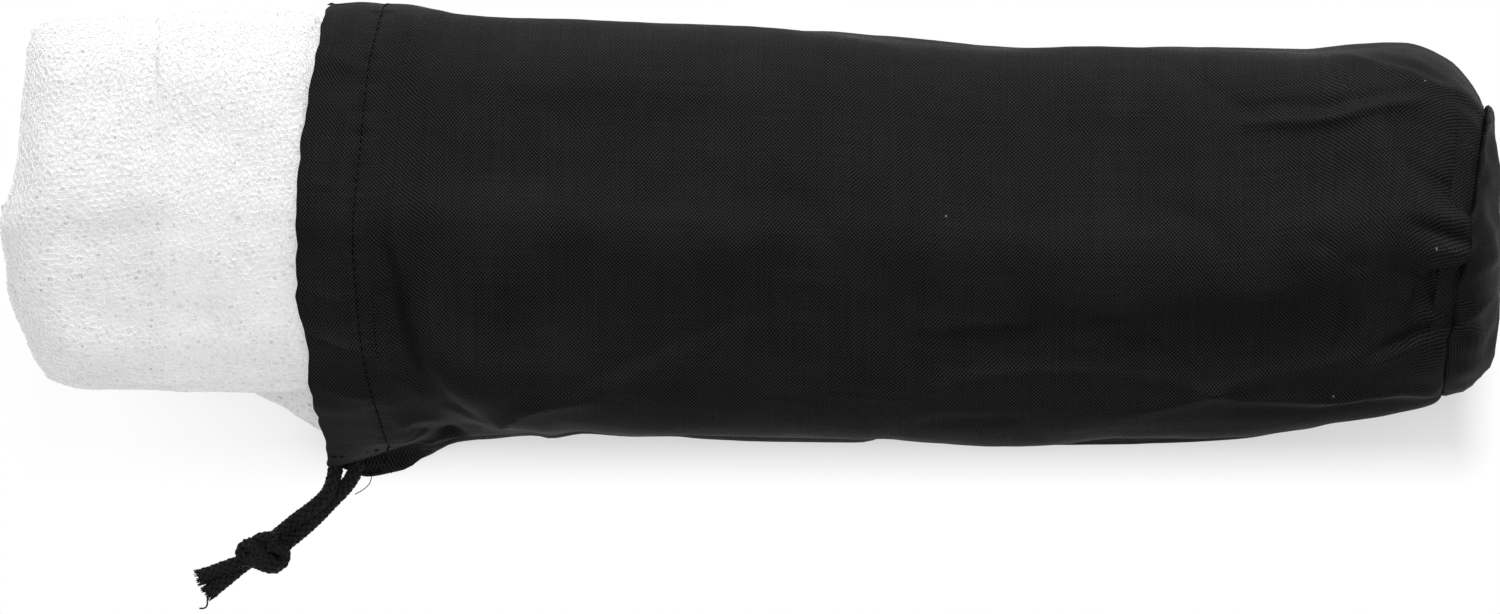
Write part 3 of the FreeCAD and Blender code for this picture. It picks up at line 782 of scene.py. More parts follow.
# Each row is a place from the mouth, and the south side below and above its seam.
SOUTH_SIDE = np.array([(0, -74.6, -75), (5, -77.2, -74.4), (12, -79.4, -72.5), (20, -78.1, -70.2),
                       (26, -76.5, -68.2), (30, -74.2, -67.6), (33.5, -72.2, -67.8), (37, -70.3, -67.6),
                       (46, -67.3, -66), (59, -66.2, -65.6), (75, -65, -64.4), (81, -66, -65.4),
                       (94, -64.4, -63.7), (112, -65.6, -65), (125, -65.5, -64.5), (134, -66.3, -64),
                       (163, -67.4, -63.9), (187, -67.6, -64.4), (191.5, -67, -64), (196, -65.6, -63.8),
                       (203, -66.4, -64.4), (234, -68.3, -66), (254, -68.5, -65.5), (262, -68.5, -63.9),
                       (273, -68.4, -62.4), (290, -67.8, -61.9), (303, -67, -62.3), (319, -65.4, -61.9),
                       (337, -62.4, -60.2), (350, -59.6, -58.2), (361, -57.6, -56.9), (372, -55.9, -55.4),
                       (384, -53.4, -53)])

# Each row of these lines is a place across and a place or shift along the bag.
MOUTH_EDGE = np.array([(-73.8, -140.2), (-68.2, -141.8), (-55.5, -145.5), (-47.2, -147.2), (-36.5, -147.5),
                       (-24.8, -149.8), (-18.2, -151), (1.8, -151), (16.8, -150.8), (32.8, -149.8),
                       (45.5, -147.5), (52.8, -146.5), (67.8, -143.6), (72, -143), (77, -141.8),
                       (79.5, -139.4)])
STITCH_LINE = np.array([(-68.2, -121.2), (-58.8, -123.8), (-47.2, -126.8), (-34.2, -129.2), (-20.5, -130.5),
                        (-4.5, -131.8), (6.2, -131.8), (20.8, -130.5), (32.8, -129.2), (48.5, -127.8),
                        (59.2, -126.5), (77.2, -122.5)])

SEAM_LINE = np.array([(-52, 1), (-47.8, -0.1), (-39.5, -0.9), (-33, -1.6), (-27.8, 0.6), (-22.8, -2.4),
                      (-16, -2.6), (-9.5, -0.8), (-1.8, 1.6), (3, 0.2), (8.8, -0.6), (17.2, -0.4),
                      (30.5, 0.3), (43.8, 1.3)])

# Each fold follows one that shows in the photo: its route, width, height and step.
CASING_FOLDS = (
    Fold(((-146.6, -31.6), (-138, -34.6), (-130, -36.8)), 1.5, 0.75),
    Fold(((-145.6, -48.2), (-135, -51), (-125.2, -53.6)), 1.6, 0.8),
    Fold(((-150, -15.6), (-142, -17.8), (-135, -19.6)), 1.6, 0.4),
    Fold(((-144, 62), (-137, 58.6), (-131, 55.4)), 1.8, 0.35),
    Fold(((-148.4, 20), (-140, 18), (-134, 15)), 2, 0.25),
)

CLOTH_FOLDS = (
    Fold(((-117.5, -13), (-116, -28), (-112, -42), (-103, -53.5), (-90, -61)), 4.8, -3.8, 3.2),
    Fold(((-121.6, -59.6), (-118.6, -62), (-112.5, -60.2), (-102.5, -61.6), (-97.3, -63), (-92.4, -65),
          (-87, -63),
          (-76.8, -57.3), (-65.7, -53.9), (-52.4, -52.8)), 1.6, 1.6),
    Fold(((-116, -64), (-106, -64.6), (-98, -66)), 1.3, -1.4),
    Fold(((-114, -65.8), (-105, -66.4)), 1, 0.8),
    Fold(((-103, -64.2), (-99, -65.4)), 1.4, -1.6),
    Fold(((-126, -42), (-119, -46.5), (-112, -52), (-108.5, -58)), 3, 1.3),
    Fold(((-67, -51.7), (-39, -40.8), (-17, -30.8), (11, -20.8)), 1.7, -0.75, -0.5),
    Fold(((-72.4, -56.2), (-46.8, -49.5), (-30.2, -43)), 3.4, 0.8),
    Fold(((8.7, -16.2), (16.5, -12.8), (27.6, -18.4)), 3.2, 0.6),
    Fold(((12, 18.3), (27.6, 1.6), (42, -13.9)), 6.5, -1.1, 0.3),
    Fold(((5.4, -52.8), (27.6, -51.2), (48.7, -52.3), (61, -49.5), (83.2, -44), (100, -43.4),
          (118, -44.2), (131, -45.8),
          (145, -48.4), (154, -51)), 2.4, 1.2),
    Fold(((50, -61.9), (72, -60.2), (90, -59.5)), 2, -1.1),
    Fold(((122, -58.5), (136.5, -55.6), (152, -51.7), (163.2, -47.3), (175.4, -44.5), (194.3, -40.6),
          (208.7, -37.3),
          (223.2, -32.8)), 2.6, 1.9),
    Fold(((96, -28), (116, -26.5), (140, -25.5), (162, -24.5), (184, -22), (202, -18.5),
          (216, -14)), 8, -1.6, 5.8),
    Fold(((108, -26.8), (131, -20.6), (152, -18.5), (177.6, -17.3), (194.3, -14),
          (210, -9)), 2.6, 0.7, 0.5),
    Fold(((112, -25.5), (123, -28.6), (135, -36), (146, -42.5)), 2.2, -1.2, 0.6),
    Fold(((104, -34), (118, -36), (128, -41)), 3, 1),
    Fold(((188, -14), (196.5, -18), (199, -25), (196.5, -33), (192.5, -38)), 2.4, -1.8),
    Fold(((208, -19), (205, -28), (200, -36.5)), 2.2, 1.5),
    Fold(((186, 1.5), (192, -3)), 3, -1.6),
    Fold(((198, -5), (206, -8.5)), 2.6, -1.4),
    Fold(((219.5, 5.2), (225, 3.8), (231, 1.6), (238.4, -1.4)), 2.4, -3.2),
    Fold(((224, -3.8), (230, -4), (237.5, -5.2)), 1.9, 2.2),
    Fold(((212, -6), (219, -11.5), (222, -20)), 3, -2.2),
    Fold(((222.5, -8), (219, -16), (215, -24)), 2.2, 2.1),
    Fold(((230.5, -7.5), (227, -14), (229, -22)), 2.4, -2.4),
    Fold(((205, -38.5), (213, -34.6), (221, -30.5), (233.5, -26.4)), 1.7, -3.4),
    Fold(((200, -42.8), (209, -39.8), (215, -37.4), (222, -34.4)), 1.5, 1.7),
    Fold(((228.5, -17.5), (233, -24)), 2.4, -2.6),
    Fold(((205, 43), (212, 34.5), (219, 23.5), (227, 13.5), (236.5, 3.5)), 6, 1.4, -3.8),
    Fold(((224, 22.5), (231, 18.6), (239, 15.8)), 2.2, -2.2),
    Fold(((164, 39), (184, 39.6), (194.3, 40.5), (208, 44.5), (222, 47.4)), 1.9, 2.4),
    Fold(((172, 45.5), (190, 44.6), (204, 48), (218, 51)), 2.4, -1.8),
    Fold(((196, 62), (212, 58), (226, 53), (237, 48.5)), 2.4, 1.4),
    Fold(((205, 61.5), (220, 58.5), (232, 53.5)), 2.2, -1.2),
    Fold(((139, 57.5), (152, 51), (161, 46), (172, 41)), 3.4, -1.2, 0.3),
    Fold(((145, -49.4), (163.2, -52.8), (177.6, -53), (193.2, -52.8), (205.4, -51.2), (216.5, -49.5),
          (229, -50.6)), 1.8, 2),
    Fold(((162, -56.8), (185, -57), (205, -54.8), (226, -53.2)), 1.9, -2.2),
    Fold(((60, -22), (90, -26), (112, -25)), 6, -0.9),
    Fold(((128, 14), (150, 6), (162, -8)), 5, -0.9, 0.3),
    Fold(((-20, 64), (30, 61), (80, 56)), 6, -0.6),
)

BASE_FOLDS = (
    Fold(((231, -32), (236, -26), (243, -21), (248, -18)), 1.5, 1.3),
    Fold(((232, -26), (238, -17), (246, -10)), 1.8, -1.4),
    Fold(((237, -4), (243, 0), (248, 8)), 2, 0.9),
    Fold(((238, 12), (244, 22), (247, 34)), 2, -0.9),
)


# Each row is a place from the mouth, or past it, and how far inside the plain form the cloth lies there.
MOUTH_ROLL = [(3.0, 1.5), (1.4, 1.5), (0.5, 1.35), (0.08, 0.95), (0.0, 0.6), (0.1, 0.25), (0.45, 0.03)]
SEAM_ROLL = [(2.0, 0.05), (1.0, 0.35), (0.3, 0.9), (0.0, 1.7)]
FACING_STOPS = [(3.0, 1.55), (4.2, 2.2), (5.2, 4.2), (6.3, 6.0), (8.0, 6.35), (11.0, 6.35), (12.8, 6.0),
                (14.2, 4.2), (15.6, 2.2), (17.0, 1.3), (20.0, 1.2), (23.0, 1.25), (25.0, 1.3)]
BASE_EDGE_STOPS = [(380.0, 1.1), (384.0, 1.0), (387.4, 1.0), (387.4, 2.2), (384.0, 2.2), (380.0, 2.3)]
# Each row is a height on the side seam and how far inside it lies.
SIDE_EDGE = [(11.0, 1.0), (16.0, 1.0), (21.0, 1.0), (21.0, 2.1), (16.0, 2.1), (11.0, 2.1)]
# Each row is a distance past the base seam, how far inside it lies and its share of the seam's skew. The
# first rows are tucked under the body panel.
BASE_STOPS = [(-3.0, 5.4, 1.0), (-1.4, 3.8, 1.0), (0.0, 2.1, 1.0), (0.25, 1.1, 1.0), (0.9, 0.5, 0.97),
              (1.9, 0.5, 0.9), (3.2, 1.3, 0.78), (4.8, 2.9, 0.63), (6.3, 5.0, 0.47), (7.8, 7.8, 0.32),
              (9.2, 11.2, 0.2), (10.3, 15.0, 0.11), (11.1, 19.0, 0.05), (11.6, 23.0, 0.02), (11.9, 27.0, 0.0)]
TUCKED_ROWS = 2

BODY_SWELLS = Ripple(3, 70.0, 0.9, 2.2)
BODY_DENTS = Ripple(8, 26.0, 0.32, 1.8)
CLOTH_UNEVENNESS = Ripple(5, 11.0, 0.07)
FLANK_SWELLS = Ripple(12, 42.0, 1.1, 3.0)
CASING_GATHERS = (Ripple(31, 12.0, 0.16, 7.0), Ripple(37, 27.0, 0.3, 8.0))
STITCH_PUCKERS = Ripple(33, 4.6, 0.2, 8.0)
MOUTH_SCALLOPS, MOUTH_FLUTTER = Ripple(41, 25.0, 1.0, 8.0), Ripple(43, 8.0, 0.16, 7.0)
FACING_GATHERS = Ripple(51, 8.0, 0.1, 6.0)
HEM_UNEVENNESS = Ripple(61, 6.0, 0.08)
BASE_SWELLS, BASE_DENTS = Ripple(71, 24.0, 0.8), Ripple(73, 9.0, 0.3)


@dataclass
class BagBody:
    """The bag's cloth: body, casing, hems, base panel, turned-in edges and every row of stitches."""

    form: Form
    cloth: Material
    sewing: Sewing
    columns: int = 216
    fine_step: float = 1.1
    fine_until: float = 25.0
    coarse_step: float = 1.6
    low_share: float = 0.3
    casing_depth: float = 20.0
    door_low: float = 7.8
    door_high: float = 20.0
    door_depth: float = 19.3
    door_side: float = -55.0
    hem_rows: int = 24
    cloth_thickness: float = 0.5
    girth: float = 396.0

    def waves(self, points: np.ndarray, normals: np.ndarray, place: np.ndarray,
              rings: np.ndarray) -> np.ndarray:
        """Return how far the cloth stands out from its plain form.

        Args:
            points: The plain form's points.
            normals: Its outward directions.
            place: The distance from the mouth at each row.
            rings: The section points of each row, across and up.

        Returns:
            The distances, rows by columns.
        """
        upward = eased(normals[..., 2], 0.05, 0.45)
        body = eased(place, 24.0, 60.0)[:, None]
        lift = (BODY_SWELLS.at(points) + BODY_DENTS.at(points)) * body
        lift += CLOTH_UNEVENNESS.at(points)
        for fold in CLOTH_FOLDS:
            lift += fold.at(points) * upward
        flank = eased(-normals[..., 2], -0.75, 0.1) * eased(points[..., 1], -10, 10)
        lift += FLANK_SWELLS.at(points) * flank * body
        lift += self.base_puckers(points, place)
        lift = lift * eased(place, 16.0, 30.0)[:, None] + self.casing_waves(points, place)
        for fold in CASING_FOLDS:
            lift += fold.at(points) * upward * (1 - eased(place, 17.0, 20.0))[:, None]
        across, height = rings[..., 0], rings[..., 1]
        calm = eased(height, 1.0, 5.0) * (1 - eased(height, 22.0, 27.0)) * (across < self.door_side + 5)
        on_floor = eased(points[..., 2], 0.0, 10.0)
        return lift * on_floor * (1 - 0.9 * calm * (1 - eased(place, 20.0, 25.0))[:, None])

    def base_puckers(self, points: np.ndarray, place: np.ndarray) -> np.ndarray:
        """Return the gathers that run from the base seam into the body."""
        rng = np.random.default_rng(21)
        angle = np.arctan2(points[..., 2] - 38.0, points[..., 1] + 3.0)
        lift = np.zeros(points.shape[:-1])
        back = (BODY_LENGTH - place)[:, None]
        for centre in np.linspace(-math.pi, math.pi, 23)[:-1]:
            middle = centre + rng.uniform(-0.1, 0.1)
            width, reach = rng.uniform(0.035, 0.08), rng.uniform(9.0, 26.0)
            depth = rng.uniform(0.5, 1.5) * rng.choice([-1.0, 1.0], p=[0.65, 0.35])
            off = (angle - middle + math.pi) % (2 * math.pi) - math.pi
            lift += depth * np.exp(-((off / (width * (1 + back / 40))) ** 2)) * np.exp(-back / reach)
        return lift

    def casing_waves(self, points: np.ndarray, place: np.ndarray) -> np.ndarray:
        """Return the casing's small gathers, its soft swell over the cord and the groove of its stitches."""
        position = place[:, None]
        in_casing = eased(position, 0.0, 3.0) * (1 - eased(position, 15.0, 19.0))
        swell = 0.5 * np.exp(-(((position - 9.5) / 6.0) ** 2))
        gathers = CASING_GATHERS[0].at(points) + CASING_GATHERS[1].at(points)
        groove = -0.75 * np.exp(-(((position - self.casing_depth) / 0.95) ** 2))
        beside = np.exp(-(((position - self.casing_depth) / 3.0) ** 2))
        return swell * in_casing + gathers * in_casing + groove + STITCH_PUCKERS.at(points) * beside

    def mouth_warp(self, points: np.ndarray, place: np.ndarray) -> np.ndarray:
        """Return how far the casing moves along the bag: its curved edge, stitch row and scallops."""
        shifts = []
        for at, target in ((0.0, MOUTH_EDGE), (self.casing_depth, STITCH_LINE)):
            ring, _ = self.form.at(at).ring(2 * self.columns)
            upper = self.form.at(at).placed(ring[ring[:, 1] > 22.0])
            order = np.argsort(upper[:, 1])
            shifts.append(np.interp(points[..., 1], target[:, 0], target[:, 1])
                          - np.interp(points[..., 1], upper[order, 1], upper[order, 0]))
        position = place[:, None]
        share = np.clip(position / self.casing_depth, 0.0, 1.0)
        warp = (shifts[0] * (1 - share) + shifts[1] * share) * (1 - eased(position, 24.0, 62.0))
        high = np.maximum(eased(points[..., 2], 14.0, 30.0), eased(points[..., 1], 58.0, 72.0))
        scallops = np.abs(MOUTH_SCALLOPS.at(points)) + MOUTH_FLUTTER.at(points) - 0.75
        return warp * high - scallops * (1 - eased(position, 0.0, 15.0)) * (0.35 + 0.65 * high)

    def seam_warp(self, points: np.ndarray) -> np.ndarray:
        """Return how far the base seam moves along the bag, so that it runs as unevenly as it was sewn."""
        high = eased(points[..., 2], 40.0, 66.0)
        return np.interp(points[..., 1], SEAM_LINE[:, 0], SEAM_LINE[:, 1]) * high

    def south_shift(self, section: Section) -> tuple[np.ndarray, np.ndarray]:
        """Return heights and how far the south side moves there: its seam lies in a groove."""
        low, upper = curve_through(SOUTH_SIDE[:, 0], SOUTH_SIDE[:, 1:], section.place)
        groove = upper + 1.7
        lip = section.slump * (1 - float(eased(section.place, 22.0, 40.0)))
        heights = np.array([section.sole, 1.4, 2.6, 4.2, 6.0, 8.0, 12.0, 15.0, 17.8, 19.6, 21.0])
        target = np.array([0.0, low + 5.5, low + 2.0, low + 0.2, low + 2.6 * lip, low + 7.6 * lip,
                           low + (groove - low) * (0.3 + 0.6 * lip),
                           groove - 0.6, groove, upper + 0.5, upper])
        shift = target - section.south_at(heights)
        shift[0] = 0.0
        top = 78.0 - 40.0 * section.slump
        above = np.append([27.0, 34.0], np.linspace(38.0, top, 8) if top > 44 else top)
        shift = np.append(shift, shift[-1] * (1 - eased(above, 20.0, top)))
        return np.append(heights, above), shift * (1 - float(eased(section.place, 380.0, 387.0)))

    def shaped(self, section: Section, ring: np.ndarray) -> np.ndarray:
        """Return section points with the south side's own shape."""
        heights, shift = self.south_shift(section)
        moved = ring.copy()
        moved[:, 0] += np.interp(ring[:, 1], heights, shift) * eased(-ring[:, 0], 5.0, 30.0)
        return moved

    def rows_of(self, stops: Stops, columns: int) -> tuple[np.ndarray, np.ndarray, np.ndarray]:
        """Return plain form points, section points and the cloth's distances for rows.

        Args:
            stops: Place and inset of each row.
            columns: How many points go round.

        Returns:
            The points, the section points, and the distances round and along.
        """
        points, rings, spread = [], [], []
        reached = 0.0
        for i, (place, inset) in enumerate(stops):
            section = self.form.at(place)
            ring, across = section.ring(columns, inset, self.low_share)
            rings.append(self.shaped(section, ring))
            points.append(section.placed(rings[-1]))
            if i:
                reached += math.hypot(place - stops[i - 1][0], inset - stops[i - 1][1])
            spread.append(np.stack([across + self.girth / 2, np.full(columns, reached)], axis=1))
        return np.array(points), np.array(rings), np.array(spread)

    def surface(self, stops: Stops, columns: int) -> tuple[np.ndarray, np.ndarray, np.ndarray, np.ndarray]:
        """Return the finished surface's points, outward directions, section points and distances."""
        points, rings, spread = self.rows_of(stops, columns)
        place = np.array([stop[0] for stop in stops])
        even = points
        if any(inset for _, inset in stops):
            even = self.rows_of([(at, 0.0) for at in place], columns)[0]
        plain = facing(even)
        points = points + plain * self.waves(points, plain, place, rings)[..., None]
        points[..., 0] += self.mouth_warp(points, place)
        points[..., 0] += self.seam_warp(points) * eased(place, 366.0, 386.0)[:, None]
        points[..., 2] = np.maximum(points[..., 2], FLOOR_GAP)
        return points, plain, rings, spread

    def panel_stops(self) -> tuple[Stops, Stops]:
        """Return place and inset of the body panel's finely and plainly divided rows."""
        fine = MOUTH_ROLL + [(at, 0.0) for at in np.arange(1.0, self.fine_until, self.fine_step)]
        places = np.concatenate([np.arange(fine[-1][0] + self.coarse_step, 62.0, self.coarse_step),
                                 np.linspace(63.0, 236.0, 52), np.linspace(237.8, BODY_LENGTH - 3.2, 84)])
        coarse = [(at, 0.0) for at in places] + [(BODY_LENGTH - back, inset) for back, inset in SEAM_ROLL]
        return fine, coarse

    def build_panel(self) -> None:
        """Build the body panel, with its edge rolled in at the mouth and down into the base seam."""
        fine, coarse = self.panel_stops()
        upper, _, rings, upper_spread = self.surface(fine, 2 * self.columns)
        lower, _, _, lower_spread = self.surface(coarse, self.columns)
        lower_spread[..., 1] += upper_spread[-1, 0, 1] + self.coarse_step
        place = np.array([stop[0] for stop in fine])[:, None]
        across, height = rings[..., 0], rings[..., 1]
        door = (height > self.door_low) & (height < self.door_high)
        door &= (across < self.door_side) & (place < self.door_depth)
        beside = np.roll(door, -1, axis=1)
        shell = Shell()
        shell.grid(upper, upper_spread, keep=~(door[:-1] & door[1:] & beside[:-1] & beside[1:]))
        second = shell.grid(lower, lower_spread)
        last = (len(fine) - 1) * 2 * self.columns
        for j in range(self.columns):
            a, b, c = last + 2 * j, last + 2 * j + 1, last + (2 * j + 2) % (2 * self.columns)
            d, e = second + j, second + (j + 1) % self.columns
            shell.faces += [(a, b, d), (b, e, d), (b, c, e)]
        piece = shell.build("body_panel_cloth", self.cloth, self.cloth_thickness, self.girth)
        dress(piece, Body.BAG, Slot.CLOTH, "body_panel")

    def build_facing(self) -> None:
        """Build the cloth turned in at the mouth, bowed inwards around the cord and sewn down behind it."""
        points, rings, spread = self.rows_of(FACING_STOPS, self.columns)
        points += facing(points) * np.abs(FACING_GATHERS.at(points))[..., None] * -1
        place = np.array([stop[0] for stop in FACING_STOPS])
        points[..., 0] += self.mouth_warp(points, place)
        across, height = rings[..., 0], rings[..., 1]
        door = (height > self.door_low - 5.3) & (height < self.door_high + 5.3)
        door &= (across < self.door_side + 5) & (place[:, None] < self.door_depth - 1)
        shell = Shell()
        shell.grid(points, spread, keep=~(door[:-1] | np.roll(door, -1, axis=1)[:-1]))
        piece = shell.build("casing_facing_cloth", self.cloth, self.cloth_thickness, self.girth)
        dress(piece, Body.BAG, Slot.CLOTH, "casing_facing")

    def south_point(self, place: float, height: float, inset: float) -> np.ndarray:
        """Return the point on the south side at a place and a height."""
        section = self.form.at(place)
        flat = np.array([[section.south_at(height, inset), height]])
        point = section.placed(self.shaped(section, flat))
        point[:, 0] += self.mouth_warp(point[None], np.array([place]))[0]
        return point[0]

    def build_hem(self, name: str, node: str, edge: float, inner: float) -> None:
        """Build one narrow hem beside the cord's way out.

        Args:
            name: The piece's name.
            node: The node that it stands for.
            edge: The height of the edge at the way out.
            inner: The height at which the hem's turned cloth ends.
        """
        way = math.copysign(1.0, inner - edge)
        around = [(1.2, 1.0), (-0.1, 0.75), (-0.5, 0.25), (-0.5, -0.12), (-0.1, -0.3), (0.8, -0.22),
                  (2.0, 0.05), (2.0, 0.4), (0.6, 0.3), (0.4, 0.9), (1.4, 1.9)]
        profile = [(inner, 1.9), (inner, 1.3)] + [(edge + off * way, inset) for off, inset in around]
        points = np.array([[self.south_point(place, height, inset) for height, inset in profile]
                           for place in np.linspace(0.5, 18.6, self.hem_rows)])
        points += HEM_UNEVENNESS.at(points)[..., None] * np.array([0.0, -1.0, 0.3])
        shell = Shell()
        shell.grid(points, cloth_grid(np.arange(len(profile)) * 0.9, np.linspace(0, 18, self.hem_rows)),
                   capped=True)
        dress(shell.build(name, self.cloth), Body.BAG, Slot.CLOTH, node)

    def base_dome(self) -> np.ndarray:
        """Return the base panel's plain dome, from its tucked rim to close to its middle."""
        seam = self.form.at(BODY_LENGTH)
        rows = []
        for out, inset, share in BASE_STOPS:
            section = Section(BODY_LENGTH + out, seam.north, seam.south, seam.sole, seam.top,
                              skew=share * seam.skew)
            rows.append(section.placed(section.ring(self.columns, inset, self.low_share)[0]))
        middle = self.base_middle(rows[-1])
        return np.array(rows + [rows[-1] + (middle - rows[-1]) * share
                                for share in (0.25, 0.5, 0.72, 0.88, 0.97)])

    def base_middle(self, row: np.ndarray) -> np.ndarray:
        """Return the middle of the base panel, a little past its last open row."""
        middle = row.mean(axis=0)
        middle[0] = row[:, 0].max() + 0.3
        return middle

    def build_base(self) -> None:
        """Build the base panel, a dome with soft creases whose rim rolls into the seam."""
        points = self.base_dome()
        middle = self.base_middle(points[len(BASE_STOPS) - 1])
        normal = facing(points)
        depth = np.maximum(np.arange(len(points)) - float(TUCKED_ROWS), 0.0)[:, None]
        depth = depth / (len(points) - TUCKED_ROWS)
        lift = BASE_SWELLS.at(points) + BASE_DENTS.at(points)
        lift = lift * eased(depth, 0.04, 0.3) * eased(points[..., 2], 0.0, 8.0)
        gathers = self.base_puckers(points, np.full(len(points), BODY_LENGTH)) * np.exp(-depth * 7.0) * 0.9
        creases = sum(fold.at(points) for fold in BASE_FOLDS) * eased(points[..., 2], 30.0, 50.0)
        points = points + normal * (lift + gathers + creases)[..., None]
        carried = sum(fold.at(points) for fold in CLOTH_FOLDS) * eased(points[..., 2], 40.0, 60.0)
        carried = carried * np.exp(-depth * 6.0)
        points[..., 0] += self.seam_warp(points) * np.exp(-depth * 5.0)
        points[..., 2] += carried
        points[..., 0] = np.minimum(points[..., 0], 249.6)
        points[..., 2] = np.maximum(points[..., 2], FLOOR_GAP)
        inwards = np.concatenate([points, middle[None, None, :].repeat(self.columns, axis=1)])[::-1]
        radius = np.cumsum(np.linalg.norm(np.diff(inwards, axis=0), axis=2), axis=0)[::-1]
        turn = np.arctan2(points[:1, :, 2] - middle[2], points[:1, :, 1] - middle[1])
        shell = Shell()
        shell.grid(points, np.stack([radius * np.cos(turn), radius * np.sin(turn)], axis=-1))
        centre = shell.add(middle[None, :])
        last = (len(points) - 1) * self.columns
        shell.faces += [(last + j, last + (j + 1) % self.columns, centre) for j in range(self.columns)]
        piece = shell.build("base_panel_cloth", self.cloth, self.cloth_thickness)
        dress(piece, Body.BAG, Slot.CLOTH, "base_panel")

    def build_allowances(self) -> None:
        """Build the turned-in edges of the side seam and the base seam."""
        places = np.arange(32.0, 376.0, 4.0)
        points = np.array([[self.south_point(place, height, inset) for height, inset in SIDE_EDGE]
                           for place in places])
        points[..., 1] += 0.2 * np.sin(points[..., 0] / 7.0) ** 2
        shell = Shell()
        shell.grid(points, cloth_grid(np.arange(len(SIDE_EDGE)) * 5.0, places), capped=True)
        dress(shell.build("side_seam_edges", self.cloth), Body.BAG, Slot.CLOTH, "side_seam_allowance")
        points, _, spread = self.rows_of(BASE_EDGE_STOPS + BASE_EDGE_STOPS[:1], self.columns)
        points[..., 2] = np.maximum(points[..., 2], 1.0)
        shell = Shell()
        shell.grid(points[:, ::-1], spread)
        dress(shell.build("base_seam_edges", self.cloth), Body.BAG, Slot.CLOTH, "base_seam_allowance")

    def build_stitches(self) -> None:
        """Sew the casing, its hems, the side seam and the base seam."""
        stops = [(self.casing_depth + off, 0.0) for off in (-1.0, 0.0, 1.0)]
        points, normals, rings, _ = self.surface(stops, 4 * self.columns)
        across, height = rings[1, :, 0], rings[1, :, 1]
        skip = (height > self.door_low - 2.0) & (height < self.door_high + 0.6) & (across < self.door_side)
        row = self.sewing.row("casing_stitch_row", points[1] + normals[1] * 0.1, normals[1], skip)
        dress(row, Body.BAG, Slot.THREAD, "casing_stitching")
        shell = Shell()
        for height, outward in ((27.0, np.array([0.0, -0.85, 0.5])), (5.6, np.array([0.0, -0.5, 0.86]))):
            for place in np.arange(2.4, 17.5, self.sewing.pitch):
                start, end = (self.south_point(place + off, height, -0.12) for off in (-1.1, 1.1))
                self.sewing.stitch(shell, start, end, outward)
        add_yarn(shell, resampled(spline_line(LOOSE_THREAD), 0.5), 0.16)
        dress(shell.build("casing_hem_stitch_rows", self.sewing.finish), Body.BAG, Slot.THREAD,
              "casing_hem_stitching")
        line = np.array([self.south_point(place, 16.0, 2.4) for place in np.arange(36.0, 372.0, 1.5)])
        inward = np.tile(np.array([0.0, 1.0, 0.0]), (len(line), 1))
        dress(self.sewing.row("side_seam_stitch_row", line, inward), Body.BAG, Slot.THREAD,
              "side_seam_thread")
        points, _, _ = self.rows_of([(383.0, 2.6), (384.0, 2.6), (385.0, 2.6)], 2 * self.columns)
        row = self.sewing.row("base_seam_stitch_row", points[1], -facing(points)[1])
        dress(row, Body.BAG, Slot.THREAD, "base_seam_thread")

    def build(self) -> None:
        """Build every piece of the bag."""
        self.build_panel()
        self.build_facing()
        self.build_hem("casing_hem_upper_fold", "casing_hem_upper", self.door_high, self.door_high + 5.0)
        self.build_hem("casing_hem_lower_fold", "casing_hem_lower", self.door_low, self.door_low - 4.6)
        self.build_base()
        self.build_allowances()
        self.build_stitches()


# The drawcord's routes, as control points in the part's frame.
UPPER_ROUTE = [(-138.4, -56, 10.9), (-138.6, -66, 10.7), (-138.6, -74, 10.9), (-139.6, -79.8, 9.6),
               (-141.4, -84.6, 7.2), (-146.6, -89.2, 6.4), (-152, -93, 4.8), (-156.6, -96.8, 3.9),
               (-161.2, -100.6, 4.6)]
LOWER_ROUTE = [(-130.8, -58, 10.9), (-131.4, -68.5, 10.7), (-131.8, -76.4, 10.3), (-135.6, -82.2, 7.4),
               (-140.2, -86.6, 3.9), (-144.6, -91.4, 2.9), (-150.2, -96.6, 2.9), (-155.8, -101, 3.3),
               (-160, -104, 4.2)]
UPPER_TAIL = [(-164, -104.2, 6.2), (-168.8, -106.2, 6.6), (-173.4, -108.2, 5.2), (-178.6, -110.2, 3.6),
              (-184.4, -112.4, 3.2)]
LOWER_TAIL = [(-163.4, -105, 3.2), (-168.6, -107.4, 3), (-173, -110.6, 3), (-177.4, -114.2, 3.1),
              (-181.6, -117.4, 3.2)]
KNOT_TURNS = (
    [(-156, -97.8, 5.2), (-160, -100.6, 5.6), (-164.2, -103.6, 6.4), (-167.6, -105.6, 6.6)],
    [(-155.4, -101.2, 4.2), (-159.4, -103.6, 4.6), (-163.6, -105.4, 4), (-167.6, -107, 3.2)],
    [(-158, -99.6, 8.6), (-162.4, -98.9, 7.6), (-166.4, -100.8, 4.6), (-165.6, -103.8, 3),
     (-161.2, -108, 3.2), (-158.6, -109.2, 6.2), (-161.6, -106.6, 9.6), (-166.6, -102.4, 9.4),
     (-168.6, -101.2, 6.4)],
    [(-167.6, -104.6, 8.4), (-164.6, -107.6, 8.4), (-160.6, -109, 6.6), (-156.8, -107.4, 4.4),
     (-156.2, -104.2, 4.6), (-158.2, -101.8, 8.6), (-162.2, -101.6, 9.6)],
    [(-164, -107.2, 6), (-168, -107, 7.2), (-170.6, -104.6, 6.4), (-169.6, -102, 4.8), (-166.4, -101.4, 6)],
)
LOOSE_THREAD = [(-127, -77.6, 5.2), (-126.9, -80, 3.6), (-129.4, -83, 1.6), (-132.6, -84.6, 0.7)]
CURLED_YARN = [(-181.6, -117.4, 2.4), (-182.2, -119.6, 1.2), (-182, -121.6, 0.6), (-183, -123, 0.6),
               (-184.8, -122.8, 0.7)]


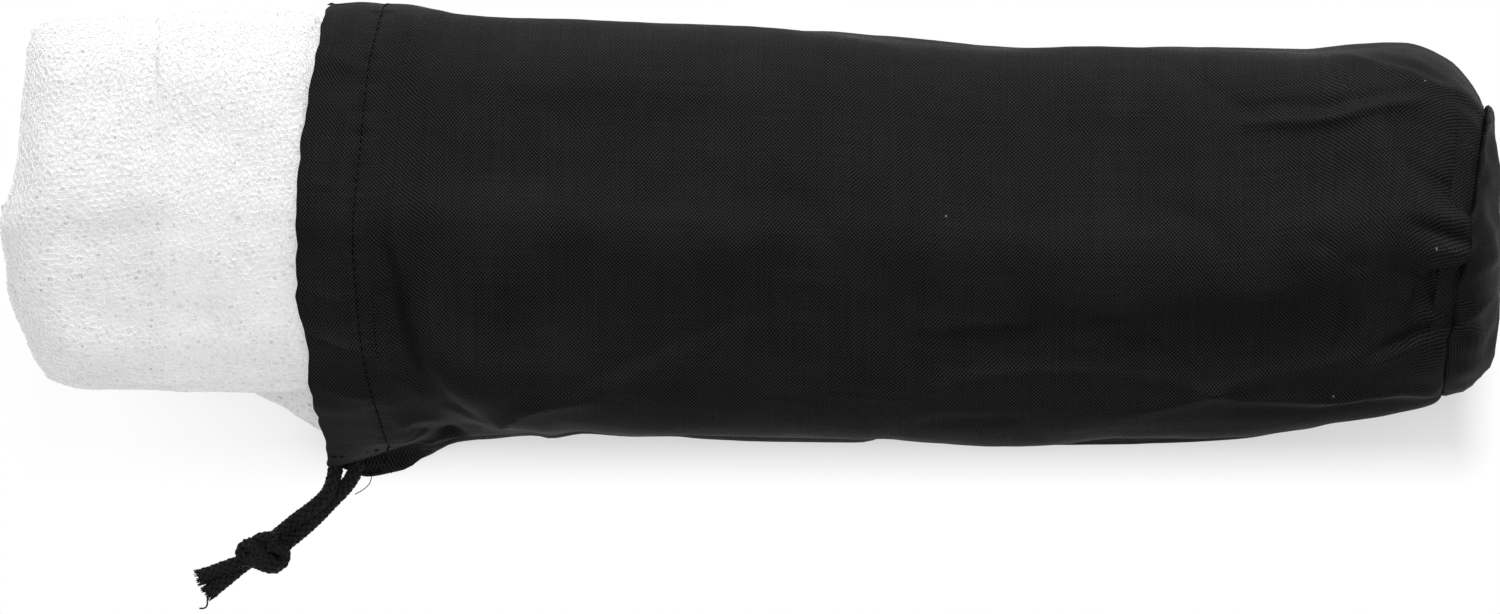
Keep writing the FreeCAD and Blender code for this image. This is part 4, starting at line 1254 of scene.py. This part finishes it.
def spline_line(points: Route) -> np.ndarray:
    """Return close points of the smooth line that has a route's points as its controls."""
    data = bpy.data.curves.new("route", "CURVE")
    data.dimensions = "3D"
    spline = data.splines.new("NURBS")
    spline.points.add(len(points) - 1)
    for control, point in zip(spline.points, points):
        control.co = (*(value * MM for value in point), 1.0)
    spline.order_u = 3
    spline.use_endpoint_u = True
    spline.resolution_u = 24
    holder = bpy.data.objects.new("route", data)
    bpy.context.collection.objects.link(holder)
    bpy.context.view_layer.update()
    mesh = bpy.data.meshes.new_from_object(holder)
    line = np.array([vertex.co[:] for vertex in mesh.vertices]) / MM
    bpy.data.objects.remove(holder)
    bpy.data.meshes.remove(mesh)
    return line


def add_yarn(shell: Shell, line: np.ndarray, radius: float, taper: float = 0.0) -> None:
    """Add one thin round yarn along a line, thinner towards its end by the taper."""
    upward, side = carried_frame(line, np.array([0.1, 0.2, 1.0]))
    thick = radius * (1 - taper * np.linspace(0, 1, len(line)))[:, None]
    shell.tube(line, upward * thick, side * thick, sides=5)


@dataclass
class Drawcord:
    """The braided drawcord: its loop, two free strands, the knot and two frayed tails."""

    braid: Material
    diameter: float = 5.0
    carriers: int = 6
    turn_length: float = 19.0
    step: float = 0.55
    core_radius: float = 1.62
    carrier_radius: float = 1.96
    carrier_swing: float = 0.34
    carrier_thickness: float = 0.46
    carrier_width: float = 0.4
    braid_radius: float = 2.1
    floor_height: float = 2.84
    knot_share: float = 0.94
    frayed_fibres: int = 90

    def strands(self, shell: Shell, line: np.ndarray, narrowing: tuple[float, ...] = (1.0, 1.0)) -> None:
        """Add the braid's strands along a line.

        Args:
            shell: What they are added to.
            line: The cord's centre line.
            narrowing: The cord's thickness from start to end, as a share.
        """
        line = resampled(line, self.step)
        upward, aside = carried_frame(line, np.array([0.13, 0.21, 1.0]))
        reached = np.arange(len(line)) * self.step
        share = np.interp(np.linspace(0, 1, len(line)), np.linspace(0, 1, len(narrowing)), narrowing)
        line[:, 2] = np.maximum(line[:, 2], self.floor_height * share)
        wave = np.cos(math.pi * reached / (self.turn_length / (2 * self.carriers)))
        width = 2 * math.pi * self.braid_radius / self.carriers * self.carrier_width
        for way in (1, -1):
            radius = (self.carrier_radius + way * self.carrier_swing * wave) * share
            for k in range(self.carriers):
                angle = way * 2 * math.pi * reached / self.turn_length + 2 * math.pi * k / self.carriers
                out = np.cos(angle)[:, None] * upward + np.sin(angle)[:, None] * aside
                centre = line + radius[:, None] * out
                beside = np.cross(unit_rows(np.gradient(centre, axis=0)), out)
                shell.tube(centre, out * self.carrier_thickness * share[:, None],
                           beside * width * share[:, None], sides=6)
        core = self.core_radius
        shell.tube(line, upward * core * share[:, None], aside * core * share[:, None], sides=10)

    def build_strand(self, name: str, node: str, points: Route) -> tuple[Piece, np.ndarray]:
        """Build one free strand and return it with its centre line."""
        line = resampled(spline_line(points), self.step)
        shell = Shell()
        self.strands(shell, line)
        return dress(shell.build(name, self.braid), Body.DRAWCORD, Slot.BRAID, node), line

    def fray(self, shell: Shell, line: np.ndarray, seed: int) -> None:
        """Add the loose fibres of a cut end."""
        rng = np.random.default_rng(seed)
        way = line[-1] - line[-4]
        way /= np.linalg.norm(way)
        aside = np.cross(way, UP)
        for _ in range(self.frayed_fibres):
            turn, out = rng.uniform(0, 2 * math.pi), self.diameter / 2 * math.sqrt(rng.uniform(0.02, 1.0))
            root = line[-3] + aside * out * math.cos(turn) + UP * out * math.sin(turn)
            lean = (aside * math.cos(turn) * rng.uniform(0.05, 0.6)
                    + UP * math.sin(turn) * rng.uniform(0.0, 0.4))
            length, marks = rng.uniform(1.2, 3.0), np.linspace(0, 1, 6)[:, None]
            fibre = root + way * marks * length + lean * marks**2 * length * 0.7
            fibre[:, 2] = np.maximum(fibre[:, 2] - 0.4 * marks[:, 0] ** 2, 0.25)
            add_yarn(shell, fibre, 0.17, 0.4)

    def build_tail(self, name: str, node: str, points: Route, seed: int,
                   curled: Route | None = None) -> Piece:
        """Build one tail, whose cut end opens into loose yarn.

        Args:
            name: The piece's name.
            node: The node that it stands for.
            points: Its route.
            seed: The seed of its fraying.
            curled: The route of one longer loose yarn, or None.

        Returns:
            The tail.
        """
        line = resampled(spline_line(points), self.step)
        shell = Shell()
        self.strands(shell, line, (0.8, 0.84, 0.9, 0.96, 1.0, 1.0, 1.1))
        self.fray(shell, line, seed)
        if curled:
            add_yarn(shell, resampled(spline_line(curled), 0.35), 0.3)
        return dress(shell.build(name, self.braid), Body.DRAWCORD, Slot.BRAID, node)

    def build_knot(self) -> Piece:
        """Build the knot: turns of the cord that cross over both strands."""
        shell = Shell()
        for turn in KNOT_TURNS:
            self.strands(shell, resampled(spline_line(turn), self.step), (self.knot_share, self.knot_share))
        return dress(shell.build("drawcord_knot_turns", self.braid), Body.DRAWCORD, Slot.BRAID,
                     "drawcord_knot")

    def build(self) -> None:
        """Build the whole drawcord with its free strands, and give the part's loop the braid's material."""
        knot = self.build_knot()
        tails = [self.build_tail("drawcord_tail_upper_end", "drawcord_tail_upper", UPPER_TAIL, 5),
                 self.build_tail("drawcord_tail_lower_end", "drawcord_tail_lower", LOWER_TAIL, 6,
                                 CURLED_YARN)]
        upper, upper_line = self.build_strand(
            "drawcord_strand_upper_braid", "drawcord_strand_upper", UPPER_ROUTE)
        lower, lower_line = self.build_strand(
            "drawcord_strand_lower_braid", "drawcord_strand_lower", LOWER_ROUTE)
        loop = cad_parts["drawcord_loop"]
        for slot in loop.material_slots:
            slot.material = self.braid


# Each row is a place from the mouth, north, south, sole, top, slump, lean and skew.
NET_ROWS = [
    (-78.4, 74, -48.5, 0, 69.5, 0, 0, 0),
    (-60, 74.6, -48.6, 0, 69.2, 0, 0, 0),
    (-46, 74.4, -48.3, 0, 68.9, 0, 0, 0),
    (-13.8, 74.4, -48.5, 0, 69.5, 0, 5.1, 0),
    (-1, 74.4, -48.5, 3.2, 69.5, 0, 8.5, 0),
    (5, 71.5, -48.5, 8.5, 67.5, 0, 8.5, 0),
    (20, 70, -48.5, 8.5, 65.5, 0, 8.5, 0),
    (105, 66.8, -48.5, 8.5, 65.5, 0, 8.5, 0),
    (200, 61, -48.5, 8.5, 65.2, 0, 8.2, 0),
    (300, 58, -48.5, 8.5, 64.6, 0, 3.8, 0),
    (360, 54, -48.5, 8.5, 64.3, 0, 1, 4),
    (377, 46, -46.5, 8.5, 64, 0, 0, 8),
    (388, 38, -42, 12, 60, 0, 0, 6),
]

NOSE_EDGE = np.array([(-62, 14), (-47.8, 19.5), (-45.5, 15.7), (-39.5, 11.7), (-31.2, 8), (-21.2, 4),
                      (-14.5, 1.8), (-6.2, 1.4), (3.2, 0), (5.8, 0), (18.8, 4), (30.5, 5.4), (47.2, 7.4),
                      (57.2, 8.4), (64, 8.8), (69, 10.4), (80, 13.5)])

NET_FOLDS = (
    Fold(((-236, 40), (-215, 52), (-190, 60), (-160, 63)), 9, -1.1),
    Fold(((-245, 6), (-225, 2), (-200, 6), (-178, 14)), 8, -1, 0.5),
    Fold(((-240, -20), (-222, -26), (-200, -28), (-170, -24)), 7, -0.9, -0.4),
    Fold(((-170, 30), (-158, 10), (-152, -20), (-148, -44)), 8, -1.6),
    Fold(((-180, -40), (-166, -42), (-150, -46)), 4, -0.9),
)

FLARE_EDGE = np.array([(-183, -46.6), (-173.5, -47.9), (-168.5, -49), (-162.8, -52.2), (-155.2, -55.6),
                       (-150.2, -58.9), (-143.2, -63.2), (-136, -66)])

NET_SWELLS, NET_DENTS = Ripple(81, 34.0, 0.55, 1.6), Ripple(83, 13.0, 0.22, 1.3)
HIDDEN_FOLDS = Ripple(85, 30.0, 1.1, 2.0)
FLARE_SWAYS = (Ripple(91, 9.0, 0.3), Ripple(93, 11.0, 0.3))
# The height, depth and width of each groove between the layers at the net's sides.
LAYER_GROOVES = ((11.0, 1.5, 1.6), (22.0, 2.6, 2.0), (33.5, 1.8, 1.6), (44.0, 2.8, 2.1), (54.0, 1.6, 1.7))


@dataclass(frozen=True)
class MeshLayer:
    """One layer of real mesh: how high it lies, and the size, angle and seed of its cells."""

    name: str
    offset: float
    thread: float
    turn: float
    seed: int
    pitch: float
    low: float = 0.0
    closed: bool = True

    ROW_SHARE = 0.866
    COVERED_SHARE = 0.9
    UNEVENNESS = 0.17
    RISE_UNEVENNESS = 0.14

    def honeycomb(self, width: float, length: float) -> tuple[np.ndarray, list[tuple[int, ...]]]:
        """Return the corners and cells of an uneven honeycomb.

        Args:
            width: How far it goes round.
            length: How far it goes along.

        Returns:
            The corners in its own plane, and each cell's corner numbers.
        """
        pitch = self.pitch
        radius = pitch / math.sqrt(3)
        reach = math.hypot(width, length) / 2 + 2 * pitch
        numbers: dict[tuple[int, int], int] = {}
        corners: list[tuple[float, float]] = []
        cells = []
        cos, sin = math.cos(self.turn), math.sin(self.turn)
        spin = np.array([[cos, -sin], [sin, cos]])
        rows, columns = int(reach / (pitch * self.ROW_SHARE)) + 1, int(reach / pitch) + 1
        for j in range(-rows, rows + 1):
            for i in range(-columns, columns + 1):
                centre = np.array([pitch * (i + 0.5 * (j % 2)), pitch * self.ROW_SHARE * j])
                seen = spin @ centre
                if abs(seen[0]) > width / 2 - pitch * 0.3 or abs(seen[1]) > length / 2 - pitch * 0.3:
                    continue
                cell = []
                for k in range(6):
                    angle = math.radians(30 + 60 * k)
                    corner = (centre[0] + radius * math.cos(angle), centre[1] + radius * math.sin(angle))
                    key = (round(corner[0] * 20), round(corner[1] * 20))
                    if key not in numbers:
                        numbers[key] = len(corners)
                        corners.append(corner)
                    cell.append(numbers[key])
                cells.append(tuple(cell))
        points = np.array(corners)
        rng = np.random.default_rng(self.seed)
        points = points + rng.normal(0.0, self.UNEVENNESS * pitch, points.shape)
        return points @ spin.T + np.array([width / 2, length / 2]), cells

    def laid(self, surface: np.ndarray) -> tuple[np.ndarray, list[tuple[int, ...]]]:
        """Return the corners laid on a surface, and the cells above the low line."""
        columns = surface.shape[1]
        steps = np.linalg.norm(np.roll(surface, -1, axis=1) - surface, axis=2)
        across = (steps if self.closed else steps[:, :-1]).sum(axis=1).max()
        along = rows_along(surface)
        corners, cells = self.honeycomb(across * (self.COVERED_SHARE if self.closed else 1.0), along[-1])
        drift = 1.1 * np.sin(corners[:, 1] / 14.0 + self.seed) + 0.8 * np.sin(corners[:, 0] / 19.0)
        if self.closed:
            u = ((corners[:, 0] + drift) / across + 0.05) * columns
        else:
            u = np.clip(corners[:, 0] / across * (columns - 1), 0.0, columns - 1.001)
        v = np.interp(corners[:, 1] + 0.7 * drift, along, np.arange(len(along)))
        v = np.clip(v, 0.0, len(along) - 1.001)
        i, j = v.astype(int), u.astype(int)
        fv, fu = (v - i)[:, None], (u - j)[:, None]
        a, b = j % columns, (j + 1) % columns

        def read(grid: np.ndarray) -> np.ndarray:
            """Return a grid's values at the corners."""
            near = grid[i, a] * (1 - fu) + grid[i, b] * fu
            far = grid[i + 1, a] * (1 - fu) + grid[i + 1, b] * fu
            return near * (1 - fv) + far * fv

        rng = np.random.default_rng(self.seed + 100)
        rise = self.offset + rng.uniform(-self.RISE_UNEVENNESS, self.RISE_UNEVENNESS, len(corners))
        points = read(surface) + read(facing(surface, self.closed)) * rise[:, None]
        tall = points[:, 2] > self.low
        return points, [cell for cell in cells if all(tall[k] for k in cell)]

    def build(self, surface: np.ndarray, finish: Material) -> None:
        """Build the layer's threads over a surface."""
        shell = Shell()
        points, shell.faces = self.laid(surface)
        shell.add(points)
        piece = shell.build(self.name, finish)
        wires = piece.modifiers.new("threads", "WIREFRAME")
        wires.thickness = self.thread * MM
        wires.use_even_offset = False
        wires.use_boundary = True
        wires.use_replace = True
        apply_modifiers(piece)
        self.drop_loose(piece)
        piece.data.polygons.foreach_set("use_smooth", np.ones(len(piece.data.polygons), bool))
        dress(piece, Body.NET, Slot.NET)

    def drop_loose(self, piece: Piece) -> None:
        """Remove points that belong to no face."""
        mesh = bmesh.new()
        mesh.from_mesh(piece.data)
        loose = [vertex for vertex in mesh.verts if not vertex.link_faces]
        bmesh.ops.delete(mesh, geom=loose, context="VERTS")
        mesh.to_mesh(piece.data)
        mesh.free()


WAD_LAYERS = (MeshLayer("net_mesh_lower_layer", 0.25, 0.4, 0.3, 7, 2.4, low=4.0),
              MeshLayer("net_mesh_upper_layer", 0.6, 0.44, -0.35, 11, 2.3, low=3.0))
FLARE_LAYER = MeshLayer("net_mesh_flare_layer", 0.45, 0.44, 0.2, 13, 2.2, closed=False)


@dataclass
class FoldedNet:
    """The folded net: its wad, the outer turn, the layer at the mouth's corner, and real mesh over them."""

    wad_finish: Material
    thread_finish: Material
    form: Form
    columns: int = 240
    row_step: float = 2.2
    girth: float = 352.0
    nose_place: float = -98.4
    nose_depth: float = 19.0
    turn_edge: float = -46.6
    turn_end: float = 3.0
    turn_step: float = 1.6
    turn_thickness: float = 0.45
    shown_until: float = 14.0
    flare_rows: int = 44
    flare_columns: int = 15
    flare_inner: float = -41.0

    def nose_stops(self) -> Stops:
        """Return place and share of the rows that round off the nose."""
        turns = np.linspace(0.0, math.pi / 2, 15)
        return [(self.nose_place + self.nose_depth * (1 - math.cos(turn)), 1 - math.sin(turn))
                for turn in turns]

    def rows(self, stops: Stops) -> np.ndarray:
        """Return the wad's plain form at rows of place and nose share, rounded more in height than across."""
        rows = []
        for place, share in stops:
            section = self.form.at(place)
            ring, _ = section.ring(self.columns)
            middle = np.array([(section.north + section.south) / 2, (section.sole + section.top) / 2])
            smaller = np.array([1 - 0.075 * share, 1 - 0.7 * share])
            rows.append(section.placed(middle + (ring - middle) * smaller))
        return np.array(rows)

    def softened(self, points: np.ndarray) -> np.ndarray:
        """Return points with the net's folds, layers and uneven nose."""
        normal = facing(points)
        x, y, z = points[..., 0], points[..., 1], points[..., 2]
        outside = 1 - eased(x, -158.0, -140.0)
        nose = 1 - eased(x, -250.0, -205.0)
        lift = (NET_SWELLS.at(points) + NET_DENTS.at(points)) * outside
        lift -= np.abs(HIDDEN_FOLDS.at(points)) * (1 - outside)
        upward = eased(normal[..., 2], 0.05, 0.5)
        for fold in NET_FOLDS:
            lift += fold.at(points) * upward * outside
        side = 1 - eased(normal[..., 2], 0.3, 0.8)
        sway = 2.2 * np.sin(x / 31.0) + 1.6 * np.sin(y / 17.0 + 1.0)
        for height, depth, width in LAYER_GROOVES:
            lift -= depth * np.exp(-(((z - height - sway) / width) ** 2)) * side
        moved = points + normal * (lift * eased(z, 0.0, 6.0))[..., None]
        moved[..., 0] += np.interp(y, NOSE_EDGE[:, 0], NOSE_EDGE[:, 1]) * nose
        moved[..., 2] = np.maximum(moved[..., 2], 0.3)
        return moved

    def turn_rise(self, points: np.ndarray, stops: Stops) -> np.ndarray:
        """Return how far the outer turn stands out from the wad, highest along the north side."""
        back = np.array([stop[0] for stop in stops])[:, None] - self.turn_edge
        rise = 0.15 + 1.9 * eased(back, 0.0, 1.8) * eased(points[..., 1], 30.0, 66.0)
        rise = rise + 0.5 * eased(back, 0.0, 9.0)
        rise = rise * (1 - 0.6 * eased(back, 40.0, 49.0)) * eased(back, -1.0, 0.4)
        return rise * (0.15 + 0.85 * eased(points[..., 2], 18.0, 30.0))

    def wad(self, finish_at: float, with_turn: bool = False) -> np.ndarray:
        """Return the finished surface from the nose to a place, with or without the outer turn on it."""
        stops = self.nose_stops()
        step = self.row_step / 2 if with_turn else self.row_step
        stops += [(at, 0.0) for at in np.arange(stops[-1][0] + self.row_step, finish_at, step)]
        surface = self.softened(self.rows(stops))
        if with_turn:
            surface = surface + facing(surface) * self.turn_rise(surface, stops)[..., None]
        return surface

    def closing(self, row: np.ndarray, shares: tuple[float, ...], bulge: float) -> np.ndarray:
        """Return rows that close an end of the wad, each smaller and further out than the one before."""
        centre = row.mean(axis=0)
        return np.array([centre + (row - centre) * np.array([1.0, share, share])
                         + np.array([(1 - share) * bulge, 0, 0]) for share in shares])

    def build_wad(self) -> None:
        """Build the closed wad."""
        surface = self.wad(BODY_LENGTH)
        points = np.concatenate([self.closing(surface[0], (0.94, 0.8, 0.6, 0.35, 0.12), -0.6)[::-1], surface,
                                 self.closing(surface[-1], (0.92, 0.7, 0.4, 0.12), 5.0)])
        across = np.linspace(0, self.girth, self.columns, endpoint=False)
        shell = Shell()
        shell.grid(points, cloth_grid(across, rows_along(points)), capped=True)
        piece = shell.build("net_wad", self.wad_finish, wrap=self.girth)
        dress(piece, Body.NET, Slot.NET, "net_bundle")

    def build_outer_turn(self) -> None:
        """Build the outer turn over the wad's top and sides, whose edge makes a small step."""
        stops = [(at, 0.0) for at in np.arange(self.turn_edge, self.turn_end, self.turn_step)]
        base = self.softened(self.rows(stops))
        back = np.array([stop[0] for stop in stops])[:, None] - self.turn_edge
        rise = self.turn_rise(base, stops)
        rise -= 0.7 * (1 - eased(back, 0.0, 5.0)) * (1 - eased(base[..., 1], 40.0, 64.0))
        high = np.flatnonzero(base[0, :, 2] > 22.0)
        points = (base + facing(base) * rise[..., None])[:, high[0]:high[-1] + 1]
        spread = cloth_grid(np.arange(points.shape[1]) * 1.45, np.arange(len(stops)) * self.turn_step)
        shell = Shell()
        shell.grid(points, spread, closed=False)
        piece = shell.build("net_outer_turn_layer", self.wad_finish, self.turn_thickness)
        dress(piece, Body.NET, Slot.NET, "net_outer_turn")

    def build_flare(self) -> np.ndarray:
        """Build the thin layer from the wad to the mouth's south corner, and return its upper side."""
        rows = []
        inner, marks = self.flare_inner, np.arange(len(FLARE_EDGE), dtype=float)
        for share in np.linspace(0, 1, self.flare_rows):
            x, y = curve_through(marks, FLARE_EDGE, share * (len(FLARE_EDGE) - 1))
            height = 24.0 - 11.6 * eased(x, -183.0, -150.0)
            reach = inner - y
            rows.append([(x, inner - reach * part, 44.0 - (44.0 - height) * part**0.8)
                         for part in np.linspace(0, 1, self.flare_columns)]
                        + [(x, y + 0.9, height - 1.4), (x, -46.0 - 0.3 * reach, height - 2.0),
                           (x, inner, height)])
        points = np.array(rows)
        points[..., 1] += FLARE_SWAYS[0].at(points)
        points[..., 2] += FLARE_SWAYS[1].at(points)
        shell = Shell()
        spread = cloth_grid(np.arange(points.shape[1]) * 2.0, np.arange(self.flare_rows) * 1.1)
        shell.grid(points, spread, capped=True)
        dress(shell.build("net_flare_layer", self.wad_finish), Body.NET, Slot.NET, "net_flare")
        return points[:, self.flare_columns - 1::-1]

    def build(self) -> None:
        """Build every piece of the net."""
        self.build_wad()
        self.build_outer_turn()
        flare_top = self.build_flare()
        surface = self.wad(self.shown_until, with_turn=True)
        for layer in WAD_LAYERS:
            layer.build(surface, self.thread_finish)
        FLARE_LAYER.build(flare_top, self.thread_finish)


@dataclass(frozen=True)
class Lamp:
    """A soft square lamp that looks at the middle of the floor, in metres and watts."""

    name: str
    place: tuple[float, float, float]
    size: float
    power: float

    def build(self) -> None:
        """Hang the lamp."""
        data = bpy.data.lights.new(self.name, "AREA")
        data.shape = "SQUARE"
        data.size = self.size
        data.energy = self.power
        lamp = bpy.data.objects.new(self.name, data)
        lamp.location = self.place
        x, y, z = self.place
        lamp.rotation_euler = (math.atan2(math.hypot(x, y), z), 0.0, math.atan2(-y, -x) - math.pi / 2)
        bpy.context.collection.objects.link(lamp)


LAMPS = (Lamp("key", (-0.2, 0.3, 2.4), 1.6, 27.0),
         Lamp("north", (0.1, 2.05, 0.95), 1.2, 53.0),
         Lamp("south", (0.2, -2.15, 0.62), 1.0, 8.0))


@dataclass
class Studio:
    """The floor, the lamps, the world and the camera, in metres."""

    camera_place: tuple[float, float, float] = (-0.0002, -0.0218, 6.035)
    lens: float = 432.0
    sensor: float = 36.0
    sight: float = 40.0
    floor_reach: float = 6.0
    world_strength: float = 0.22

    def build_floor(self) -> None:
        """Lay the floor."""
        mesh = bpy.data.meshes.new("floor")
        far = self.floor_reach
        mesh.from_pydata([(-far, -far, 0), (far, -far, 0), (far, far, 0), (-far, far, 0)], [], [(0, 1, 2, 3)])
        mesh.materials.append(FloorFinish().make())
        floor = bpy.data.objects.new("floor", mesh)
        bpy.context.collection.objects.link(floor)

    def build_lamps(self) -> None:
        """Set three soft lamps, overhead, north and south, and a plain white world."""
        world = bpy.data.worlds.new("studio")
        world.use_nodes = True
        background = world.node_tree.nodes["Background"]
        background.inputs["Color"].default_value = (1.0, 1.0, 1.0, 1.0)
        background.inputs["Strength"].default_value = self.world_strength
        bpy.context.scene.world = world
        for lamp in LAMPS:
            lamp.build()

    def build_camera(self) -> None:
        """Set the camera straight above, as the photograph looks down."""
        data = bpy.data.cameras.new("camera")
        data.lens = self.lens
        data.sensor_width = self.sensor
        data.clip_end = self.sight
        camera = bpy.data.objects.new("camera", data)
        camera.location = self.camera_place
        bpy.context.collection.objects.link(camera)
        bpy.context.scene.camera = camera

    def build(self) -> None:
        """Set the whole studio."""
        self.build_floor()
        self.build_lamps()
        self.build_camera()
        bpy.context.scene.view_settings.view_transform = "Standard"


def main() -> None:
    """Build the studio, the drawcord, the bag and the net, in that order."""
    logging.basicConfig(level=logging.INFO, format="%(name)s: %(message)s")
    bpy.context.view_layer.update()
    Studio().build()
    cloth = ClothFinish().make()
    thread = YarnFinish("black_thread", (0.0004, 0.0004, 0.0004), (0.003, 0.003, 0.0035), 0.7, 0.06).make()
    braid = YarnFinish("black_braid", (0.0012, 0.0012, 0.0014), (0.021, 0.021, 0.021), 0.6, 0.12).make()
    Drawcord(braid).build()
    BagBody(Form(BAG_ROWS), cloth, Sewing(thread)).build()
    FoldedNet(NetFinish().make(), NetFinish("white_mesh_thread", holes=False).make(), Form(NET_ROWS)).build()


if __name__ == "__main__":
    main()
